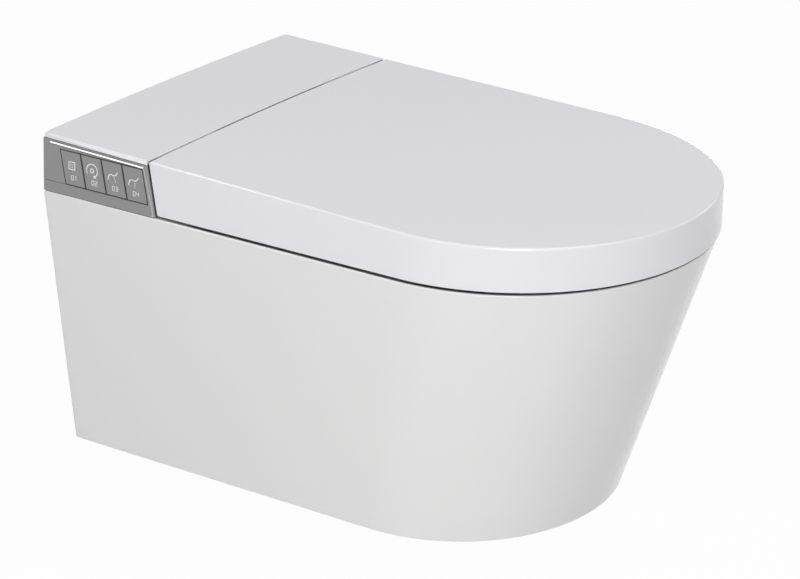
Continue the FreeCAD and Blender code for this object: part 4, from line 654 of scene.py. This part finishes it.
# Rings of the head and then of its recess: share of the outline, and the way down in the head's height.
HEAD_RINGS = ((1.0, 0.0), (1.0, 0.4), (0.9, 0.8), (0.72, 1.0))
RECESS_RINGS = ((1.0, 1.0), (0.8, 0.25))

# Vertices nearer than this are one, in metres.
WELD_REACH = 1e-6


def separate_centres(node):
    """The middle of each separate solid in a node."""
    mesh = bmesh.new()
    mesh.from_mesh(frame["nodes"][node].data)
    bmesh.ops.remove_doubles(mesh, verts=mesh.verts, dist=WELD_REACH)
    waiting = set(mesh.verts)
    centres = []
    while waiting:
        found = [waiting.pop()]
        for vertex in found:
            near = {edge.other_vert(vertex) for edge in vertex.link_edges} & waiting
            found.extend(near)
            waiting -= near
        centres.append(sum((vertex.co for vertex in found), Vector()) / len(found))
    mesh.free()
    return sorted(centres, key=tuple)


def cross_radius(angle):
    """Edge of a cross recess in the head's radii, seen at an angle from the middle."""
    turn = angle % (math.pi / 2)
    rise = math.sin(min(turn, math.pi / 2 - turn))
    return CROSS_HALF_WIDTH / rise if rise * CROSS_ARM > CROSS_HALF_WIDTH else CROSS_ARM


def screw_head(mesh, seat):
    """A round head with a cross recess, which hangs below the place it is driven into."""
    angles = [math.tau * index / SCREW_SIDES for index in range(SCREW_SIDES)]
    circle = [1.0] * SCREW_SIDES
    cross = [cross_radius(angle) for angle in angles]

    def ring(outline, share, drop):
        reaches = [reach * share * SCREW_RADIUS for reach in outline]
        return [mesh.verts.new(seat + Vector((math.cos(angle) * reach, math.sin(angle) * reach,
                                              -drop * SCREW_HEIGHT)))
                for angle, reach in zip(angles, reaches)]

    closed_solid(mesh, [ring(circle, *step) for step in HEAD_RINGS]
                 + [ring(cross, *step) for step in RECESS_RINGS])


def underside(node, x, y):
    """Height of a node's lowest face above a place, or None past its edge."""
    start = Vector((x, y, cad_box[0][2]))
    found, place = frame["nodes"][node].ray_cast(start, Vector((0.0, 0.0, 1.0)))[:2]
    return place.z if found else None


def screw_seat(shell, place):
    """Where a head sits on a shell's underside, or None where the shell is too narrow or uneven."""
    margin = SCREW_RADIUS * SCREW_MARGIN
    heights = [underside(shell, place.x + margin * right, place.y + margin * back)
               for right, back in ((1, 0), (-1, 0), (0, 1), (0, -1))]
    if None in heights or max(heights) - min(heights) > SCREW_HEIGHT / 2:
        return None
    return Vector((place.x, place.y, max(heights)))


def drive_screws():
    """Screws beside the rubber bumpers hold the seat's base and the lid's liner."""
    for body, shell, bumpers in SCREWED_SHELLS:
        low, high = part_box(shell)
        middle = (low + high) / 2
        screws = bmesh.new()
        for bumper in separate_centres(bumpers):
            outward = Vector((bumper.x - middle.x, bumper.y - middle.y, 0.0)).normalized()
            along = Vector((-outward.y, outward.x, 0.0)) * SCREW_OFFSET
            for side in (-1, 1):
                seat = screw_seat(shell, bumper + along * side)
                if seat:
                    screw_head(screws, seat)
        finish_piece(body + "_screws", screws, "zinc_steel", body)


# ---------------------------------------------------------------- studio

# A wall-hung pan's foot stands clear of the floor.
FOOT_CLEARANCE = 0.13
FLOOR_REACH = 6.0
FLOOR_GREY = (0.8, 0.8, 0.8, 1.0)

# Share of plain white in the floor where it is seen, so that a faint shadow is left.
FLOOR_WHITENESS = 0.97

LIGHT_AIM = Vector((0.0, -0.3, 0.0))

# Each lamp's name, place and diameter in metres, and power in watts.
LAMPS = (
    ("camera_light", (-2.3, -1.9, 1.1), 1.2, 47.1),
    ("upper_front_light", (-0.2, -1.6, 2.6), 2.0, 24.0),
    ("left_light", (-3.0, -0.3, 0.9), 1.6, 5.2),
    ("overhead_light", (0.2, -0.2, 2.6), 2.2, 7.0),
    ("edge_light", (-1.7, 1.3, 1.75), 0.7, 16.0),
    ("rim_light", (2.41, -0.9, 1.25), 0.8, 5.0),
    ("right_front_light", (1.94, -1.84, 1.43), 0.8, 6.0),
    ("back_light", (1.2, 3.0, 1.6), 2.0, 14.0),
    ("right_light", (2.9, 0.7, 0.0), 0.6, 9.0),
)

# The photograph's view: places in metres, roll in degrees, lens and sensor in millimetres.
CAMERA_PLACE = Vector((-2.20986, -1.76084, 1.05122))
CAMERA_TARGET = Vector((0.01118, -0.26796, -0.02793))
CAMERA_ROLL = 0.585
CAMERA_LENS = 136.0
CAMERA_REACH = 50.0
SENSOR_WIDTH = 36.0


def seen_directly(tree):
    """1 for what the camera, a mirror or clear glass sees, 0 for light that fills the scene."""
    path = tree.nodes.new("ShaderNodeLightPath")
    total = path.outputs["Is Camera Ray"]
    for kind in ("Is Glossy Ray", "Is Transmission Ray"):
        either = tree.nodes.new("ShaderNodeMath")
        either.operation = "MAXIMUM"
        tree.links.new(total, either.inputs[0])
        tree.links.new(path.outputs[kind], either.inputs[1])
        total = either.outputs[0]
    return total


def studio_floor():
    """A floor that is nearly white where it is seen, and matte grey to the light."""
    foot = cad_box[0][2] - FOOT_CLEARANCE
    corners = [(right * FLOOR_REACH, back * FLOOR_REACH, foot)
               for right, back in ((-1, -1), (1, -1), (1, 1), (-1, 1))]
    mesh = bpy.data.meshes.new("studio_floor")
    mesh.from_pydata(corners, [], [(0, 1, 2, 3)])
    floor = bpy.data.objects.new("studio_floor", mesh)
    bpy.context.scene.collection.objects.link(floor)
    material = bpy.data.materials.new("studio_floor")
    material.use_nodes = True
    tree = material.node_tree
    tree.nodes.clear()
    output = tree.nodes.new("ShaderNodeOutputMaterial")
    matte = tree.nodes.new("ShaderNodeBsdfDiffuse")
    matte.inputs["Color"].default_value = FLOOR_GREY
    glow = tree.nodes.new("ShaderNodeEmission")
    glow.inputs["Strength"].default_value = 1.0
    mix = tree.nodes.new("ShaderNodeMixShader")
    share = tree.nodes.new("ShaderNodeMath")
    share.operation = "MULTIPLY"
    share.inputs[1].default_value = FLOOR_WHITENESS
    tree.links.new(seen_directly(tree), share.inputs[0])
    tree.links.new(share.outputs[0], mix.inputs[0])
    tree.links.new(matte.outputs[0], mix.inputs[1])
    tree.links.new(glow.outputs[0], mix.inputs[2])
    tree.links.new(mix.outputs[0], output.inputs["Surface"])
    mesh.materials.append(material)


def studio_world():
    """White where it is seen or mirrored; the lamps alone light the object."""
    world = bpy.data.worlds.new("studio_world")
    bpy.context.scene.world = world
    world.use_nodes = True
    tree = world.node_tree
    backdrop = tree.nodes["Background"]
    backdrop.inputs["Color"].default_value = WHITE
    tree.links.new(seen_directly(tree), backdrop.inputs["Strength"])


def soft_light(name, place, size, power):
    light = bpy.data.lights.new(name, "AREA")
    light.shape = "DISK"
    light.size = size
    light.energy = power
    lamp = bpy.data.objects.new(name, light)
    lamp.location = place
    lamp.rotation_euler = (LIGHT_AIM - Vector(place)).to_track_quat("-Z", "Y").to_euler()
    bpy.context.scene.collection.objects.link(lamp)


def photo_camera():
    back = (CAMERA_PLACE - CAMERA_TARGET).normalized()
    right = Vector((0.0, 0.0, 1.0)).cross(back).normalized()
    up = back.cross(right)
    roll = math.radians(CAMERA_ROLL)
    rolled_right = right * math.cos(roll) + up * math.sin(roll)
    rolled_up = up * math.cos(roll) - right * math.sin(roll)
    data = bpy.data.cameras.new("photo_camera")
    data.lens = CAMERA_LENS
    data.sensor_width = SENSOR_WIDTH
    data.sensor_fit = "HORIZONTAL"
    data.clip_end = CAMERA_REACH
    camera = bpy.data.objects.new("photo_camera", data)
    turn = Matrix((rolled_right, rolled_up, back)).transposed()
    camera.matrix_world = Matrix.Translation(CAMERA_PLACE) @ turn.to_4x4()
    bpy.context.scene.collection.objects.link(camera)
    bpy.context.scene.camera = camera


dress_nodes()
mark_keys()
line_panel()
paint_band_highlight()
drive_screws()
studio_floor()
studio_world()
for lamp_settings in LAMPS:
    soft_light(*lamp_settings)
photo_camera()
bpy.context.scene.view_settings.view_transform = "Standard"
